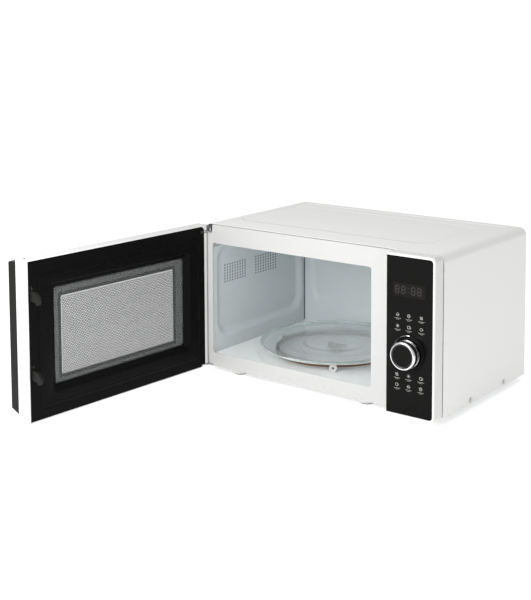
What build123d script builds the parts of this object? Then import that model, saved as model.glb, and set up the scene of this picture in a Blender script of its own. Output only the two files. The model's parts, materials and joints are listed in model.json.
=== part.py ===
from build123d import *
import math
import os

# Countertop microwave oven with its door open.
# Millimetres. +X is the control-panel side, the front faces -Y, +Z is up.
# Everything is drawn about the middle of the cabinet's footprint, on the surface it stands
# on, and saved with the underside of the front left foot at the origin.

# ---------------------------------------------------------------- driving dimensions
# cabinet
CABINET_W = 440.0          # outside width of the steel wrap
CABINET_D = 264.0          # face of the front plate to the rear edge of the wrap
FOOT_H = 9.0               # height of the feet below the cabinet
CABINET_H = 236.0          # height of the wrap, without the feet
SHEET = 0.8                # cabinet and cavity sheet steel
WRAP_R = 12.0              # bend radius of the wrap's two top corners
WRAP_SETBACK = 2.5         # front edge of the wrap behind the face of the front plate

FOOT_INSET_X, FOOT_INSET_Y = 54.0, 25.0     # front left foot from the cabinet's corner

LEFT = -CABINET_W / 2
RIGHT = CABINET_W / 2
FRONT = -CABINET_D / 2
REAR = CABINET_D / 2
BOTTOM = FOOT_H
TOP = FOOT_H + CABINET_H
TO_FRAME = (-LEFT - FOOT_INSET_X, -FRONT - FOOT_INSET_Y, 0)

# cooking cavity
OPEN_X0, OPEN_X1 = -202.9, 100.4    # opening in the front plate
OPEN_Z0, OPEN_Z1 = 33.5, 213.6
CAV_X0, CAV_X1 = -205.5, 103.0      # inside faces of the side walls
CAV_Z0, CAV_Z1 = 31.0, 216.5        # inside faces of the floor and ceiling
CAV_Y1 = 122.0                      # inside face of the back wall
WALL_PRESS = 7.0                    # depth of the panels pressed outwards in the walls

# turntable
PLATE_R = 122.5                     # 245 mm glass plate
TABLE_X, TABLE_Y = -51.5, -4.5
ROLLER_R = 6.0
TRACK_R = 105.0
GAP = 0.3                           # free space between parts that move past each other

# door, drawn closed and then turned open
DOOR_OPEN = 93.5                    # degrees open at rest
DOOR_X0, DOOR_X1 = -219.0, 139.6
DOOR_Z0, DOOR_Z1 = 10.0, 243.0
DOOR_IN = FRONT - 1.5               # plane of the door's inner face
DOOR_OUT = FRONT - 22.0             # plane of the door's outer face
DOOR_WALL = 1.8
HINGE_R = 3.5                       # rounding of the hinge edge, about the hinge axis
HINGE_X = DOOR_X0 + HINGE_R
HINGE_Y = DOOR_IN - HINGE_R
PIN_R = 1.6
TAB_T = 2.0
TAB_TOP_Z, TAB_LOW_Z = 231.0, 12.0  # underside of the two fixed hinge tabs
NOTCH_X = -203.4                    # side of the notch over the upper hinge
PIN_FIT = 0.05                      # radial clearance of a running fit

# control panel
PANEL_X0 = 141.0
PANEL_RIM = 3.6
GLASS_X1 = RIGHT - PANEL_RIM
GLASS_Z0, GLASS_Z1 = BOTTOM + PANEL_RIM, TOP - PANEL_RIM
KNOB_X, KNOB_Z = 178.3, 103.8
KNOB_R = 20.4
KNOB_H = 19.5
SHAFT_R = 3.0

DOOR_AXIS = Axis((HINGE_X, HINGE_Y, 0), (0, 0, 1))
DARK_GLASS_T = 2.5

# electrics beside the cavity, measures
WAVE_Y0, WAVE_Y1 = -20.0, 72.0
WAVE_Z0, WAVE_Z1 = 112.0, 192.0
WAVE_D = 20.0
FAN_X, FAN_Z = 164.0, 150.0
FAN_BLADE_R = 38.0
FAN_Y0 = 96.0
GLAND_X, GLAND_Z, GLAND_R = 196.0, 34.0, 7.0
HOOK_X0, HOOK_X1 = 131.0, 135.5
HOOK_Z = (72.0, 185.0)
HOOK_H = 16.0
HOOK_OUT = 21.0
HOOK_LIFT = 3.0
TRANS_X, TRANS_Y = 164.0, -32.0

# latch side of the cabinet, measures
LEVER_Z = (HOOK_Z[0] + HOOK_H + 10 + HOOK_Z[1] - 9) / 2

# hinges on the cabinet, measures
EAR_T = 2.0

# control panel, measures
DISPLAY_X0, DISPLAY_X1 = 151.5, 204.0
DISPLAY_Z0, DISPLAY_Z1 = 184.0, 203.5
KNOB_BASE_H = 3.2

# turntable, measures
WELL_Z = CAV_Z0 - 1.2
ROLLER_Z = WELL_Z + 0.2 + ROLLER_R
PLATE_Z = ROLLER_Z + ROLLER_R + GAP
ROLLER_START = -57.0

# door, drawn closed, measures
BEVEL_X0, BEVEL_X1 = -177.0, 97.0           # mouth of the inner cover
BEVEL_Z0, BEVEL_Z1 = 47.0, 203.0
COVER_X0, COVER_X1 = -199.0, 120.0          # outline of the inner cover
COVER_Z0, COVER_Z1 = 26.0, 219.5
SCREEN_Y = DOOR_IN - 8.5                    # plane of the perforated plate
SCOOP_X0, SCOOP_MID_X = 46.0, 90.0          # where the finger scoop starts, and its middle
SCOOP_MID_Y = DOOR_IN - 12.6
SCOOP_Y = DOOR_IN - 6.5                     # floor of the finger scoop at the handle
POST_X = 133.0                              # inner side of the free-edge wall
POST_OUT = DOOR_OUT - 4.3                   # top of the free-edge wall, which carries the handle
HANDLE_OUT = DOOR_OUT - 24.5                # front of the handle
HANDLE_Z0, HANDLE_Z1 = DOOR_Z0 + 9.0, DOOR_Z1 - 5.5
HANDLE_SCREW_Z = (48.0, 126.5, 205.0)
SCREW_X = (POST_X + DOOR_X1) / 2
SCREW_R = 0.9
SCREW_HEAD_R = 1.4                          # fits the channel inside the free-edge wall
CORNER_R = 8.0                              # rounded top corner of the pan beside the hinge
PANE_X1 = 84.0                              # free side of the outer pane
PANE_LEDGE = 0.7
POCKET_X1 = HINGE_X + 13.0


# ---------------------------------------------------------------- helpers
def block(x0, x1, y0, y1, z0, z1):
    """A box between two corners."""
    centre = ((x0 + x1) / 2, (y0 + y1) / 2, (z0 + z1) / 2)
    return Pos(*centre) * Box(abs(x1 - x0), abs(y1 - y0), abs(z1 - z0))


def rod(radius, start, end):
    """A cylinder between two points."""
    a, b = Vector(*start), Vector(*end)
    return extrude(Plane(origin=a, z_dir=b - a) * Circle(radius), (b - a).length)


def upright_plate(x0, x1, z0, z1, y0, y1, radius=0.0):
    """A plate that faces the front, with rounded corners, from y0 back to y1."""
    w, h = x1 - x0, z1 - z0
    shape = RectangleRounded(w, h, radius) if radius else Rectangle(w, h)
    plane = Plane(origin=((x0 + x1) / 2, y0, (z0 + z1) / 2), x_dir=(1, 0, 0), z_dir=(0, -1, 0))
    return extrude(plane * shape, -(y1 - y0))


def upright_taper(x0, x1, z0, z1, y0, y1, radius, inset):
    """An upright plate that shrinks by inset on every side from y0 back to y1."""
    xc, zc = (x0 + x1) / 2, (z0 + z1) / 2
    near = Plane(origin=(xc, y0, zc), x_dir=(1, 0, 0), z_dir=(0, -1, 0))
    far = Plane(origin=(xc, y1, zc), x_dir=(1, 0, 0), z_dir=(0, -1, 0))
    big = near * RectangleRounded(x1 - x0, z1 - z0, radius)
    small = far * RectangleRounded(x1 - x0 - 2 * inset, z1 - z0 - 2 * inset, max(radius - inset, 1))
    return loft([big.face(), small.face()])


def side_taper(y0, y1, z0, z1, x0, x1, radius, inset):
    """A plate that faces the side and shrinks by inset from x0 to x1."""
    yc, zc = (y0 + y1) / 2, (z0 + z1) / 2
    near = Plane(origin=(x0, yc, zc), x_dir=(0, 1, 0), z_dir=(1, 0, 0))
    far = Plane(origin=(x1, yc, zc), x_dir=(0, 1, 0), z_dir=(1, 0, 0))
    big = near * RectangleRounded(y1 - y0, z1 - z0, radius)
    small = far * RectangleRounded(y1 - y0 - 2 * inset, z1 - z0 - 2 * inset, max(radius - inset, 1))
    return loft([big.face(), small.face()])


def ring(outer, inner, start, end):
    """A tube between two points."""
    return rod(outer, start, end) - rod(inner, start, end)


def turned(profile, x, y):
    """A solid of revolution about a vertical axis through x, y from (radius, z) points."""
    face = make_face(Plane.XZ * Polyline(*profile, close=True))
    return Pos(x, y, 0) * revolve(face, Axis.Z)


def save(shape, node):
    """Shift one sub-part from the cabinet's middle to the shared frame and write it."""
    print(node, len(shape.solids()), "solid(s)", round(shape.volume, 1), "mm3")
    export_step(shape.moved(Location(TO_FRAME)), f"parts/{node}.step")


def group(shapes):
    """Separate solids that share one node."""
    return Compound(children=[s for shape in shapes for s in shape.solids()])


def opened(shape):
    """Turn a door part from its closed place to the open rest pose."""
    return shape.rotate(DOOR_AXIS, -DOOR_OPEN)


# ---------------------------------------------------------------- cabinet
def outer_wrap():
    """Steel sheet bent over the top and both sides, with an embossed field on top."""
    y0, y1 = FRONT + WRAP_SETBACK, REAR
    outer = block(LEFT, RIGHT, y0, y1, BOTTOM, TOP)
    outer = fillet(outer.edges().filter_by(Axis.Y).group_by(Axis.Z)[-1], WRAP_R)
    inner = block(LEFT + SHEET, RIGHT - SHEET, y0, y1, BOTTOM - 1, TOP - SHEET)
    inner = fillet(inner.edges().filter_by(Axis.Y).group_by(Axis.Z)[-1], WRAP_R - SHEET)
    wrap = outer - inner
    emboss_in = 24.0
    field = Plane.XY.offset(TOP) * Pos(0, 4) * RectangleRounded(
        CABINET_W - 2 * emboss_in, CABINET_D - 1.4 * emboss_in, 16
    )
    wrap -= extrude(field, -0.4)
    return wrap


def base_plate():
    """Bottom tray with turned-up edges and vent slots."""
    x0, x1 = LEFT + SHEET + 0.2, RIGHT - SHEET - 0.2
    y0, y1 = FRONT + 14.0, REAR - 3.0
    tray = block(x0, x1, y0, y1, BOTTOM, BOTTOM + 12)
    tray -= block(x0 + SHEET, x1 - SHEET, y0 + SHEET, y1 - SHEET, BOTTOM + SHEET, BOTTOM + 13)
    for i in range(8):
        tray -= block(120 + i * 10, 124 + i * 10, 40, 90, BOTTOM - 1, BOTTOM + 2)
    tray -= rod(30, (TABLE_X, TABLE_Y, BOTTOM - 1), (TABLE_X, TABLE_Y, BOTTOM + 2))
    return tray


def motor_cover():
    """Round knock-out cover under the turntable motor."""
    z = BOTTOM
    return rod(29.8, (TABLE_X, TABLE_Y, z), (TABLE_X, TABLE_Y, z + SHEET))


def rear_panel():
    """Back sheet, set just inside the wrap, with fan and exhaust vents."""
    x0, x1 = LEFT + SHEET + 0.2, RIGHT - SHEET - 0.2
    y0, y1 = REAR - 3.0, REAR - 3.0 + SHEET
    panel = upright_plate(x0, x1, BOTTOM + 1, TOP - SHEET - 0.2, y0, y1)
    corners = panel.edges().filter_by(Axis.Y).group_by(Axis.Z)[-1]
    panel = fillet(corners, WRAP_R - SHEET)
    for i in range(10):
        z = FAN_Z - 36 + i * 8
        half = math.sqrt(max(40.0**2 - (z + 1.6 - FAN_Z) ** 2, 9.0))
        panel -= block(FAN_X - half, FAN_X + half, y0 - 2, y1 + 2, z, z + 3.2)
    for i in range(12):
        x = -170 + i * 9
        panel -= block(x, x + 3, y0 - 2, y1 + 2, 160, 200)
    panel -= rod(GLAND_R, (GLAND_X, y0 - 2, GLAND_Z), (GLAND_X, y1 + 2, GLAND_Z))
    return panel


def front_plate():
    """Flat painted face of the cabinet, with the cavity opening and latch slots."""
    x0, x1 = LEFT + 2.0, RIGHT - 2.5
    z0, z1 = BOTTOM + 1.8, TOP - 1.5
    plate = upright_plate(x0, x1, z0, z1, FRONT, FRONT + SHEET)
    top_edges = plate.edges().filter_by(Axis.Y).group_by(Axis.Z)[-1]
    plate = fillet(top_edges, WRAP_R - 2)
    plate -= upright_plate(OPEN_X0, OPEN_X1, OPEN_Z0, OPEN_Z1, FRONT - 1, FRONT + 2, 4.0)
    plate -= block(x0 - 1, NOTCH_X, FRONT - 1, FRONT + 2, TAB_TOP_Z, TOP)
    for z in HOOK_Z:
        plate -= block(HOOK_X0 - 2.2, HOOK_X1 + 2.2, FRONT - 1, FRONT + 2, z - 6, z + HOOK_H + 7)
    flange_y = FRONT + 12.0
    top = block(x0 + 16, x1 - 16, FRONT, flange_y, z1 - SHEET, z1)
    low = block(x0, x1, FRONT, flange_y, z0, z0 + SHEET)
    plate = plate + top + low
    plate -= rod(SHAFT_R + 5, (KNOB_X, FRONT - 2, KNOB_Z), (KNOB_X, FRONT + 3, KNOB_Z))
    plate -= upright_plate(PANEL_X0 + 12, RIGHT - 12, 130, 225, FRONT - 1, FRONT + 2, 3)
    plate -= upright_plate(PANEL_X0 + 12, RIGHT - 12, 30, 70, FRONT - 1, FRONT + 2, 3)
    return plate


def cavity_shell():
    """Enamelled steel box of the cooking cavity, open to the front."""
    y0 = FRONT + SHEET
    t = SHEET

    def outline(grow):
        box = block(
            CAV_X0 - grow, CAV_X1 + grow, y0, CAV_Y1 + grow, CAV_Z0 - grow, CAV_Z1 + grow
        )
        left = side_taper(-112, 106, 62, 200, CAV_X0 + 1, CAV_X0 - WALL_PRESS - grow, 22 + grow, 8)
        back = upright_taper(
            -186, 84, 74, 196, CAV_Y1 - 1, CAV_Y1 + 4 + grow, 20 + grow, 6
        )
        well = rod(
            PLATE_R + 2.0 + grow, (TABLE_X, TABLE_Y, WELL_Z - grow), (TABLE_X, TABLE_Y, CAV_Z0 + 1)
        )
        return box + left + back + well

    shell = outline(t) - outline(0)
    shell -= block(CAV_X0, CAV_X1, y0 - 1, y0 + 1, CAV_Z0, CAV_Z1)
    shell -= rod(5.2, (TABLE_X, TABLE_Y, CAV_Z0 - 5), (TABLE_X, TABLE_Y, CAV_Z0 + 5))
    shell -= block(CAV_X1 - 2, CAV_X1 + 3, WAVE_Y0 + 8, WAVE_Y1 - 8, WAVE_Z0 + 8, WAVE_Z1 - 8)
    return shell


# ---------------------------------------------------------------- electrics beside the cavity


def waveguide():
    """Folded steel duct that carries the microwaves to the cavity wall."""
    x0 = CAV_X1 + SHEET
    duct = block(x0, x0 + WAVE_D, WAVE_Y0, WAVE_Y1, WAVE_Z0, WAVE_Z1)
    duct -= block(x0, x0 + WAVE_D - 1, WAVE_Y0 + 1, WAVE_Y1 - 1, WAVE_Z0 + 1, WAVE_Z1 - 1)
    mid_y, mid_z = (WAVE_Y0 + WAVE_Y1) / 2, (WAVE_Z0 + WAVE_Z1) / 2
    duct -= rod(12.0, (x0, mid_y, mid_z), (x0 + WAVE_D + 2, mid_y, mid_z))
    return duct


def waveguide_cover():
    """Mica sheet over the opening in the right wall of the cavity."""
    return block(CAV_X1 - 0.6, CAV_X1, WAVE_Y0 + 3, WAVE_Y1 - 3, WAVE_Z0 + 3, WAVE_Z1 - 3)


def magnetron_body():
    """Magnetron yoke with its stack of cooling fins."""
    x0 = CAV_X1 + SHEET + WAVE_D
    mid_y, mid_z = (WAVE_Y0 + WAVE_Y1) / 2, (WAVE_Z0 + WAVE_Z1) / 2
    hy, hz = 46.0, 38.0
    length = 56.0
    yoke = block(x0, x0 + length, mid_y - hy, mid_y + hy, mid_z - hz, mid_z + hz)
    yoke -= block(x0 + 2, x0 + length - 2, mid_y - hy - 1, mid_y + hy + 1, mid_z - hz + 2, mid_z + hz - 2)
    yoke -= rod(11.0, (x0 - 1, mid_y, mid_z), (x0 + 3, mid_y, mid_z))
    core = rod(19.0, (x0 + 2, mid_y, mid_z), (x0 + length - 2, mid_y, mid_z))
    fins = core
    for i in range(9):
        x = x0 + 9 + i * 4.5
        fins += block(x, x + 0.8, mid_y - hy + 2, mid_y + hy - 2, mid_z - hz + 2, mid_z + hz - 2)
    return yoke + fins


def magnetron_antenna():
    """Capped antenna dome that reaches into the waveguide."""
    x0 = CAV_X1 + SHEET + WAVE_D
    mid_y, mid_z = (WAVE_Y0 + WAVE_Y1) / 2, (WAVE_Z0 + WAVE_Z1) / 2
    neck = rod(9.0, (x0 - 10, mid_y, mid_z), (x0 + 2, mid_y, mid_z))
    dome = rod(7.0, (x0 - 16, mid_y, mid_z), (x0 - 10, mid_y, mid_z))
    dome = fillet(dome.edges().filter_by(GeomType.CIRCLE).group_by(Axis.X)[0], 2.0)
    return neck + dome


def filter_box():
    """Shielded box with the magnetron's supply terminals."""
    x0 = CAV_X1 + SHEET + WAVE_D + 56.0
    mid_y, mid_z = (WAVE_Y0 + WAVE_Y1) / 2, (WAVE_Z0 + WAVE_Z1) / 2
    box = block(x0, x0 + 26, mid_y - 30, mid_y + 30, mid_z - 20, mid_z + 20)
    return fillet(box.edges().filter_by(Axis.X), 2.0)


def transformer_core():
    """Laminated E-I core of the high-voltage transformer."""
    z0 = BOTTOM + SHEET
    core = block(TRANS_X - 44, TRANS_X + 44, TRANS_Y - 21, TRANS_Y + 21, z0, z0 + 74)
    for side in (-1, 1):
        x = TRANS_X + side * 22
        core -= block(x - 8, x + 8, TRANS_Y - 22, TRANS_Y + 22, z0 + 14, z0 + 60)
    return core


def transformer_windings():
    """Primary and secondary coils around the middle leg of the core."""
    z0 = BOTTOM + SHEET
    coils = []
    for low, high in ((16, 35), (39, 58)):
        coil = block(TRANS_X - 29, TRANS_X + 29, TRANS_Y - 36, TRANS_Y + 36, z0 + low, z0 + high)
        coil = fillet(coil.edges().filter_by(Axis.Z), 9.0)
        hole = block(TRANS_X - 14.2, TRANS_X + 14.2, TRANS_Y - 21.2, TRANS_Y + 21.2, z0, z0 + 74)
        coils.append(coil - hole)
    return group(coils)


def capacitor():
    """Oval high-voltage capacitor can with two terminals."""
    z = BOTTOM + SHEET + 17.5
    can = Plane(origin=(118, 62, z), x_dir=(0, 1, 0), z_dir=(1, 0, 0)) * SlotOverall(54, 33)
    can = extrude(can, 80)
    for y in (50, 74):
        can += rod(3, (198, y, z), (205, y, z))
    return can


def rectifier_diode():
    """High-voltage diode lying beside the capacitor."""
    z = BOTTOM + SHEET + 44
    body = rod(4.0, (140, 62, z), (162, 62, z))
    return body + rod(1.0, (128, 62, z), (174, 62, z))


def fan_shroud():
    """Moulded housing of the cooling fan on the rear panel."""
    half = 46.0
    box = block(FAN_X - half, FAN_X + half, FAN_Y0, REAR - 3.0, FAN_Z - half, FAN_Z + half)
    box = fillet(box.edges().filter_by(Axis.Y), 6.0)
    hole = FAN_BLADE_R + 2.0
    box -= rod(hole, (FAN_X, FAN_Y0 + 3, FAN_Z), (FAN_X, REAR, FAN_Z))
    box -= rod(hole - 4, (FAN_X, FAN_Y0 - 1, FAN_Z), (FAN_X, FAN_Y0 + 4, FAN_Z))
    arm = 3.0
    for a in range(3):
        spoke = block(-arm, arm, FAN_Y0, FAN_Y0 + 3, 10, hole)
        box += Pos(FAN_X, 0, FAN_Z) * spoke.rotate(Axis.Y, a * 120)
    box += rod(15, (FAN_X, FAN_Y0, FAN_Z), (FAN_X, FAN_Y0 + 3, FAN_Z))
    box -= rod(SHAFT_R, (FAN_X, FAN_Y0 - 1, FAN_Z), (FAN_X, FAN_Y0 + 4, FAN_Z))
    return box


def fan_motor():
    """Shaded-pole motor in front of the fan, with its stator stack."""
    y1 = FAN_Y0
    body = block(FAN_X - 24, FAN_X + 24, y1 - 16, y1, FAN_Z - 22, FAN_Z + 14)
    body += block(FAN_X - 14, FAN_X + 14, y1 - 22, y1 + 0, FAN_Z - 40, FAN_Z - 22)
    body -= rod(SHAFT_R, (FAN_X, y1 - 12, FAN_Z), (FAN_X, y1 + 1, FAN_Z))
    return body


def fan_blade():
    """Five-bladed fan on its shaft."""
    y0 = FAN_Y0 + 6
    hub = rod(11, (0, y0, 0), (0, y0 + 14, 0))
    blade = Plane(origin=(0, y0 + 7, 0), x_dir=(1, 0, 0), z_dir=(0, 0, 1))
    strip = extrude(blade * Rot(0, 0, 32) * Rectangle(20, 1.6), FAN_BLADE_R - 1)
    strip = strip & rod(FAN_BLADE_R, (0, y0, 0), (0, y0 + 14, 0))
    for i in range(5):
        hub += strip.rotate(Axis.Y, i * 72)
    hub += rod(SHAFT_R - PIN_FIT, (0, FAN_Y0 - 12 + 0.3, 0), (0, y0, 0))
    return Pos(FAN_X, 0, FAN_Z) * hub


def lamp_holder():
    """Lamp socket behind the right cavity wall."""
    x0 = CAV_X1 + SHEET
    return block(x0, x0 + 18, -74, -46, 172, 200) - rod(9, (x0, -60, 186), (x0 + 14, -60, 186))


def oven_lamp():
    """Small filament lamp in its socket."""
    x0 = CAV_X1 + SHEET
    glass = rod(6.5, (x0 + 1, -60, 186), (x0 + 10, -60, 186))
    tip = glass.edges().filter_by(GeomType.CIRCLE).group_by(Axis.X)[0]
    glass = fillet(tip, 6.0)
    return glass + rod(5.0, (x0 + 10, -60, 186), (x0 + 14, -60, 186))


def thermal_cutout():
    """Round overheat switches on the magnetron and on the cavity."""
    x0 = CAV_X1 + SHEET
    spots = [(x0, -100.0, 150.0), (x0, 95.0, 60.0)]
    parts = []
    for x, y, z in spots:
        disc = rod(8, (x, y, z), (x + 7, y, z))
        disc += block(x + 7, x + 15, y - 3.5, y - 2.7, z - 3, z + 3)
        disc += block(x + 7, x + 15, y + 2.7, y + 3.5, z - 3, z + 3)
        parts.append(disc)
    return group(parts)


def noise_filter_board():
    """Mains filter circuit board with its choke coil and fuse."""
    z = TOP - 26
    board = block(120, 200, -60, -8, z, z + 1.6)
    board += ring(9, 4, (150, -34, z + 1.6), (150, -34, z + 12))
    board += rod(3, (172, -50, z + 4.4), (172, -28, z + 4.4))
    board += block(130, 142, -54, -44, z + 1.6, z + 12)
    return board


def mains_gland():
    """Cord gland in the rear panel. The cord itself is not part of the model."""
    y = REAR - 3.0
    body = rod(GLAND_R, (GLAND_X, y, GLAND_Z), (GLAND_X, y + SHEET, GLAND_Z))
    body += rod(GLAND_R + 3, (GLAND_X, y + SHEET, GLAND_Z), (GLAND_X, REAR, GLAND_Z))
    body += rod(GLAND_R + 2, (GLAND_X, y - 8, GLAND_Z), (GLAND_X, y, GLAND_Z))
    body -= rod(3.6, (GLAND_X, y - 10, GLAND_Z), (GLAND_X, REAR + 1, GLAND_Z))
    return body


def turntable_motor():
    """Flat synchronous motor under the cavity floor."""
    z1 = CAV_Z0 - 1.2 - SHEET
    body = rod(24, (TABLE_X, TABLE_Y, z1 - 14), (TABLE_X, TABLE_Y, z1))
    body += block(TABLE_X - 30, TABLE_X + 30, TABLE_Y - 7, TABLE_Y + 7, z1 - 1.2, z1)
    body -= rod(3.2, (TABLE_X, TABLE_Y, z1 - 10), (TABLE_X, TABLE_Y, z1 + 1))
    return body


def air_duct():
    """Moulded duct that leads the fan's air over the magnetron."""
    y0, y1 = 74.0, FAN_Y0 - 24
    z0, z1 = 108.0, 196.0
    side = block(RIGHT - 10, RIGHT - 8.4, -24, FAN_Y0 - 2, z0, z1)
    roof = block(128, RIGHT - 8.4, -24, FAN_Y0 - 26, z1, z1 + 1.6)
    return side + roof


# ---------------------------------------------------------------- latch side of the cabinet
def latch_bracket():
    """Moulded carrier behind the front plate that the door hooks catch in."""
    y0, y1 = FRONT + SHEET, FRONT + 34
    x0, x1 = HOOK_X0 - 7, HOOK_X1 + 7
    body = block(x0, x1, y0, y1, 60, 214)
    for z in HOOK_Z:
        body -= block(HOOK_X0 - 2.2, HOOK_X1 + 2.2, y0 - 1, y1 - 4, z - 6, z + HOOK_H + 7)
    mid0, mid1 = HOOK_Z[0] + HOOK_H + 10, HOOK_Z[1] - 9
    body -= block(HOOK_X0 - 3, x1 + 1, y0 + 3, y1 + 1, mid0, mid1)
    for z in HOOK_Z:
        body += block(HOOK_X0 - 2.2, HOOK_X1 + 2.2, y0 + 1, y0 + 6, z - 6, z - 1.6)
    lever_z = (mid0 + mid1) / 2
    body += rod(2.0, (x0 + 3, y0 + 16, lever_z), (HOOK_X1 + 5, y0 + 16, lever_z))
    return body


def interlock_lever():
    """Rocking lever that works the door switches."""
    y, z = FRONT + SHEET + 16, LEVER_Z
    x0, x1 = HOOK_X0 - 1, HOOK_X1 + 1
    hub = ring(4.5, 2.0 + PIN_FIT, (x0, y, z), (x1, y, z))
    arm = block(x0, x1, y - 2, y + 2, z + 3.5, z + 26)
    toe = block(x0, x1, y + 3.5, y + 16, z - 2, z + 2)
    bore = rod(2.0 + PIN_FIT, (x0 - 1, y, z), (x1 + 1, y, z))
    return hub + (arm + toe - bore)


def door_switches():
    """Three snap-action switches on the latch bracket."""
    x0 = HOOK_X1 + 7
    parts = []
    for z in (66, 98, 182):
        body = block(x0, x0 + 10, FRONT + 8, FRONT + 28, z, z + 27)
        body -= rod(1.6, (x0 - 1, FRONT + 18, z + 4), (x0 + 11, FRONT + 18, z + 4))
        body -= rod(1.6, (x0 - 1, FRONT + 18, z + 23), (x0 + 11, FRONT + 18, z + 23))
        for step in (4, 12, 20):
            body += block(x0 + 4, x0 + 5, FRONT + 28, FRONT + 34, z + step, z + step + 3)
        parts.append(body)
    return group(parts)


# ---------------------------------------------------------------- hinges on the cabinet


def hinge_bracket(tab_z, inward):
    """Steel tab that reaches forward from the front plate and carries a fixed pin.
    inward is -1 for the upper bracket, whose pin points down, and +1 for the lower."""
    x0, x1 = LEFT + 3.0, HINGE_X + 12
    back = FRONT + 7 if inward < 0 else FRONT
    tab = block(x0, x1, HINGE_Y - 1.0, back, tab_z, tab_z + TAB_T)
    tab += rod(3.2, (HINGE_X, HINGE_Y, tab_z), (HINGE_X, HINGE_Y, tab_z + TAB_T))
    tab -= block(HINGE_X + 4.0, x1 + 1, HINGE_Y - 8, FRONT - 2.2, tab_z - 1, tab_z + TAB_T + 1)
    start = tab_z if inward < 0 else tab_z + TAB_T
    tab += rod(PIN_R, (HINGE_X, HINGE_Y, start), (HINGE_X, HINGE_Y, start + inward * 10))
    if inward < 0:
        rivet_top = (HINGE_X + 5, FRONT + 3.5, tab_z + TAB_T + 4)
        tab += rod(1.8, (HINGE_X + 5, FRONT + 3.5, tab_z), rivet_top)
    return tab


# ---------------------------------------------------------------- control panel
def control_panel_frame():
    """White moulded housing of the control panel, proud of the front plate."""
    y0, y1 = DOOR_OUT, FRONT
    body = block(PANEL_X0, RIGHT, y0, y1, BOTTOM, TOP)
    body = fillet(body.edges().filter_by(Axis.Y).sort_by(Axis.X)[-2:], 7.0)
    front_edges = body.faces().sort_by(Axis.Y)[0].edges()
    body = fillet([e for e in front_edges if e.center().X > PANEL_X0 + 1], 2.0)
    pocket = block(PANEL_X0 + 2, RIGHT - 2.4, y0 + DARK_GLASS_T + 2, y1 + 1, BOTTOM + 2.4, TOP - 2.4)
    body -= pocket
    body -= control_glass_blank(0.0)
    window = upright_plate(PANEL_X0 + 6, GLASS_X1 - 6, DISPLAY_Z0 - 8, DISPLAY_Z1 + 8, y0, y0 + 8, 2)
    body -= window
    body -= rod(SHAFT_R + 2.2, (KNOB_X, y0 - 1, KNOB_Z), (KNOB_X, y0 + 8, KNOB_Z))
    return body


def control_glass_blank(shrink):
    """Outline of the dark front pane, square on the door side and rounded on the other."""
    y0, y1 = DOOR_OUT - 0.2, DOOR_OUT + DARK_GLASS_T
    pane = block(PANEL_X0, GLASS_X1 - shrink, y0, y1, GLASS_Z0 + shrink, GLASS_Z1 - shrink)
    return fillet(pane.edges().filter_by(Axis.Y).sort_by(Axis.X)[-2:], 5.0)


def control_glass():
    """Dark glossy pane with the hole for the knob shaft."""
    pane = control_glass_blank(0.1)
    hole = rod(SHAFT_R + 2.0, (KNOB_X, DOOR_OUT - 2, KNOB_Z), (KNOB_X, DOOR_OUT + 4, KNOB_Z))
    return pane - hole


def display_module():
    """Numeric display behind the pane."""
    y = DOOR_OUT + DARK_GLASS_T
    return block(DISPLAY_X0, DISPLAY_X1, y, y + 7, DISPLAY_Z0, DISPLAY_Z1)


def control_board():
    """Main circuit board with relays and a small supply transformer."""
    y = DOOR_OUT + DARK_GLASS_T + 9
    x0, x1 = PANEL_X0 + 6, RIGHT - 6
    board = block(x0, x1, y, y + 1.6, 36, 226)
    board += block(x0 + 6, x0 + 24, y + 1.6, y + 9, 140, 158)
    board += block(x0 + 6, x0 + 24, y + 1.6, y + 9, 164, 182)
    board += block(x0 + 34, x0 + 60, y + 1.6, y + 8.5, 140, 170)
    board += rod(5, (x0 + 48, y + 1.6, 190), (x0 + 48, y + 9, 190))
    board -= rod(5, (KNOB_X, y - 1, KNOB_Z), (KNOB_X, y + 3, KNOB_Z))
    return board


def encoder_body():
    """Rotary encoder that the knob turns."""
    y = DOOR_OUT + DARK_GLASS_T + 2
    body = block(KNOB_X - 7, KNOB_X + 7, y, y + 7, KNOB_Z - 7, KNOB_Z + 7)
    body -= rod(SHAFT_R + PIN_FIT, (KNOB_X, y - 1, KNOB_Z), (KNOB_X, y + 6, KNOB_Z))
    return body


def knob_bezel():
    """Fixed stepped ring on the pane, round the foot of the knob."""
    y = DOOR_OUT - 0.2
    bezel = ring(26.0, KNOB_R + 1.0, (KNOB_X, y - KNOB_BASE_H, KNOB_Z), (KNOB_X, y, KNOB_Z))
    rim = bezel.edges().filter_by(GeomType.CIRCLE).group_by(Axis.Y)[0].sort_by(SortBy.RADIUS)[-1]
    return chamfer(rim, 1.4)


def knob_body():
    """Black ribbed knob body on its shaft."""
    y0 = DOOR_OUT - 0.2 - GAP
    y1 = DOOR_OUT - 0.2 - KNOB_H
    body = rod(KNOB_R - 0.4, (KNOB_X, y0, KNOB_Z), (KNOB_X, y1 + 5, KNOB_Z))
    body += rod(15.7, (KNOB_X, y0, KNOB_Z), (KNOB_X, y1 + 1.2, KNOB_Z))
    for i in range(3):
        y = y0 - 4.5 - i * 3.2
        body -= ring(KNOB_R + 1, KNOB_R - 1.0, (KNOB_X, y, KNOB_Z), (KNOB_X, y - 1.1, KNOB_Z))
    body += rod(SHAFT_R, (KNOB_X, y0, KNOB_Z), (KNOB_X, DOOR_OUT + DARK_GLASS_T + 7.5, KNOB_Z))
    return body


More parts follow.
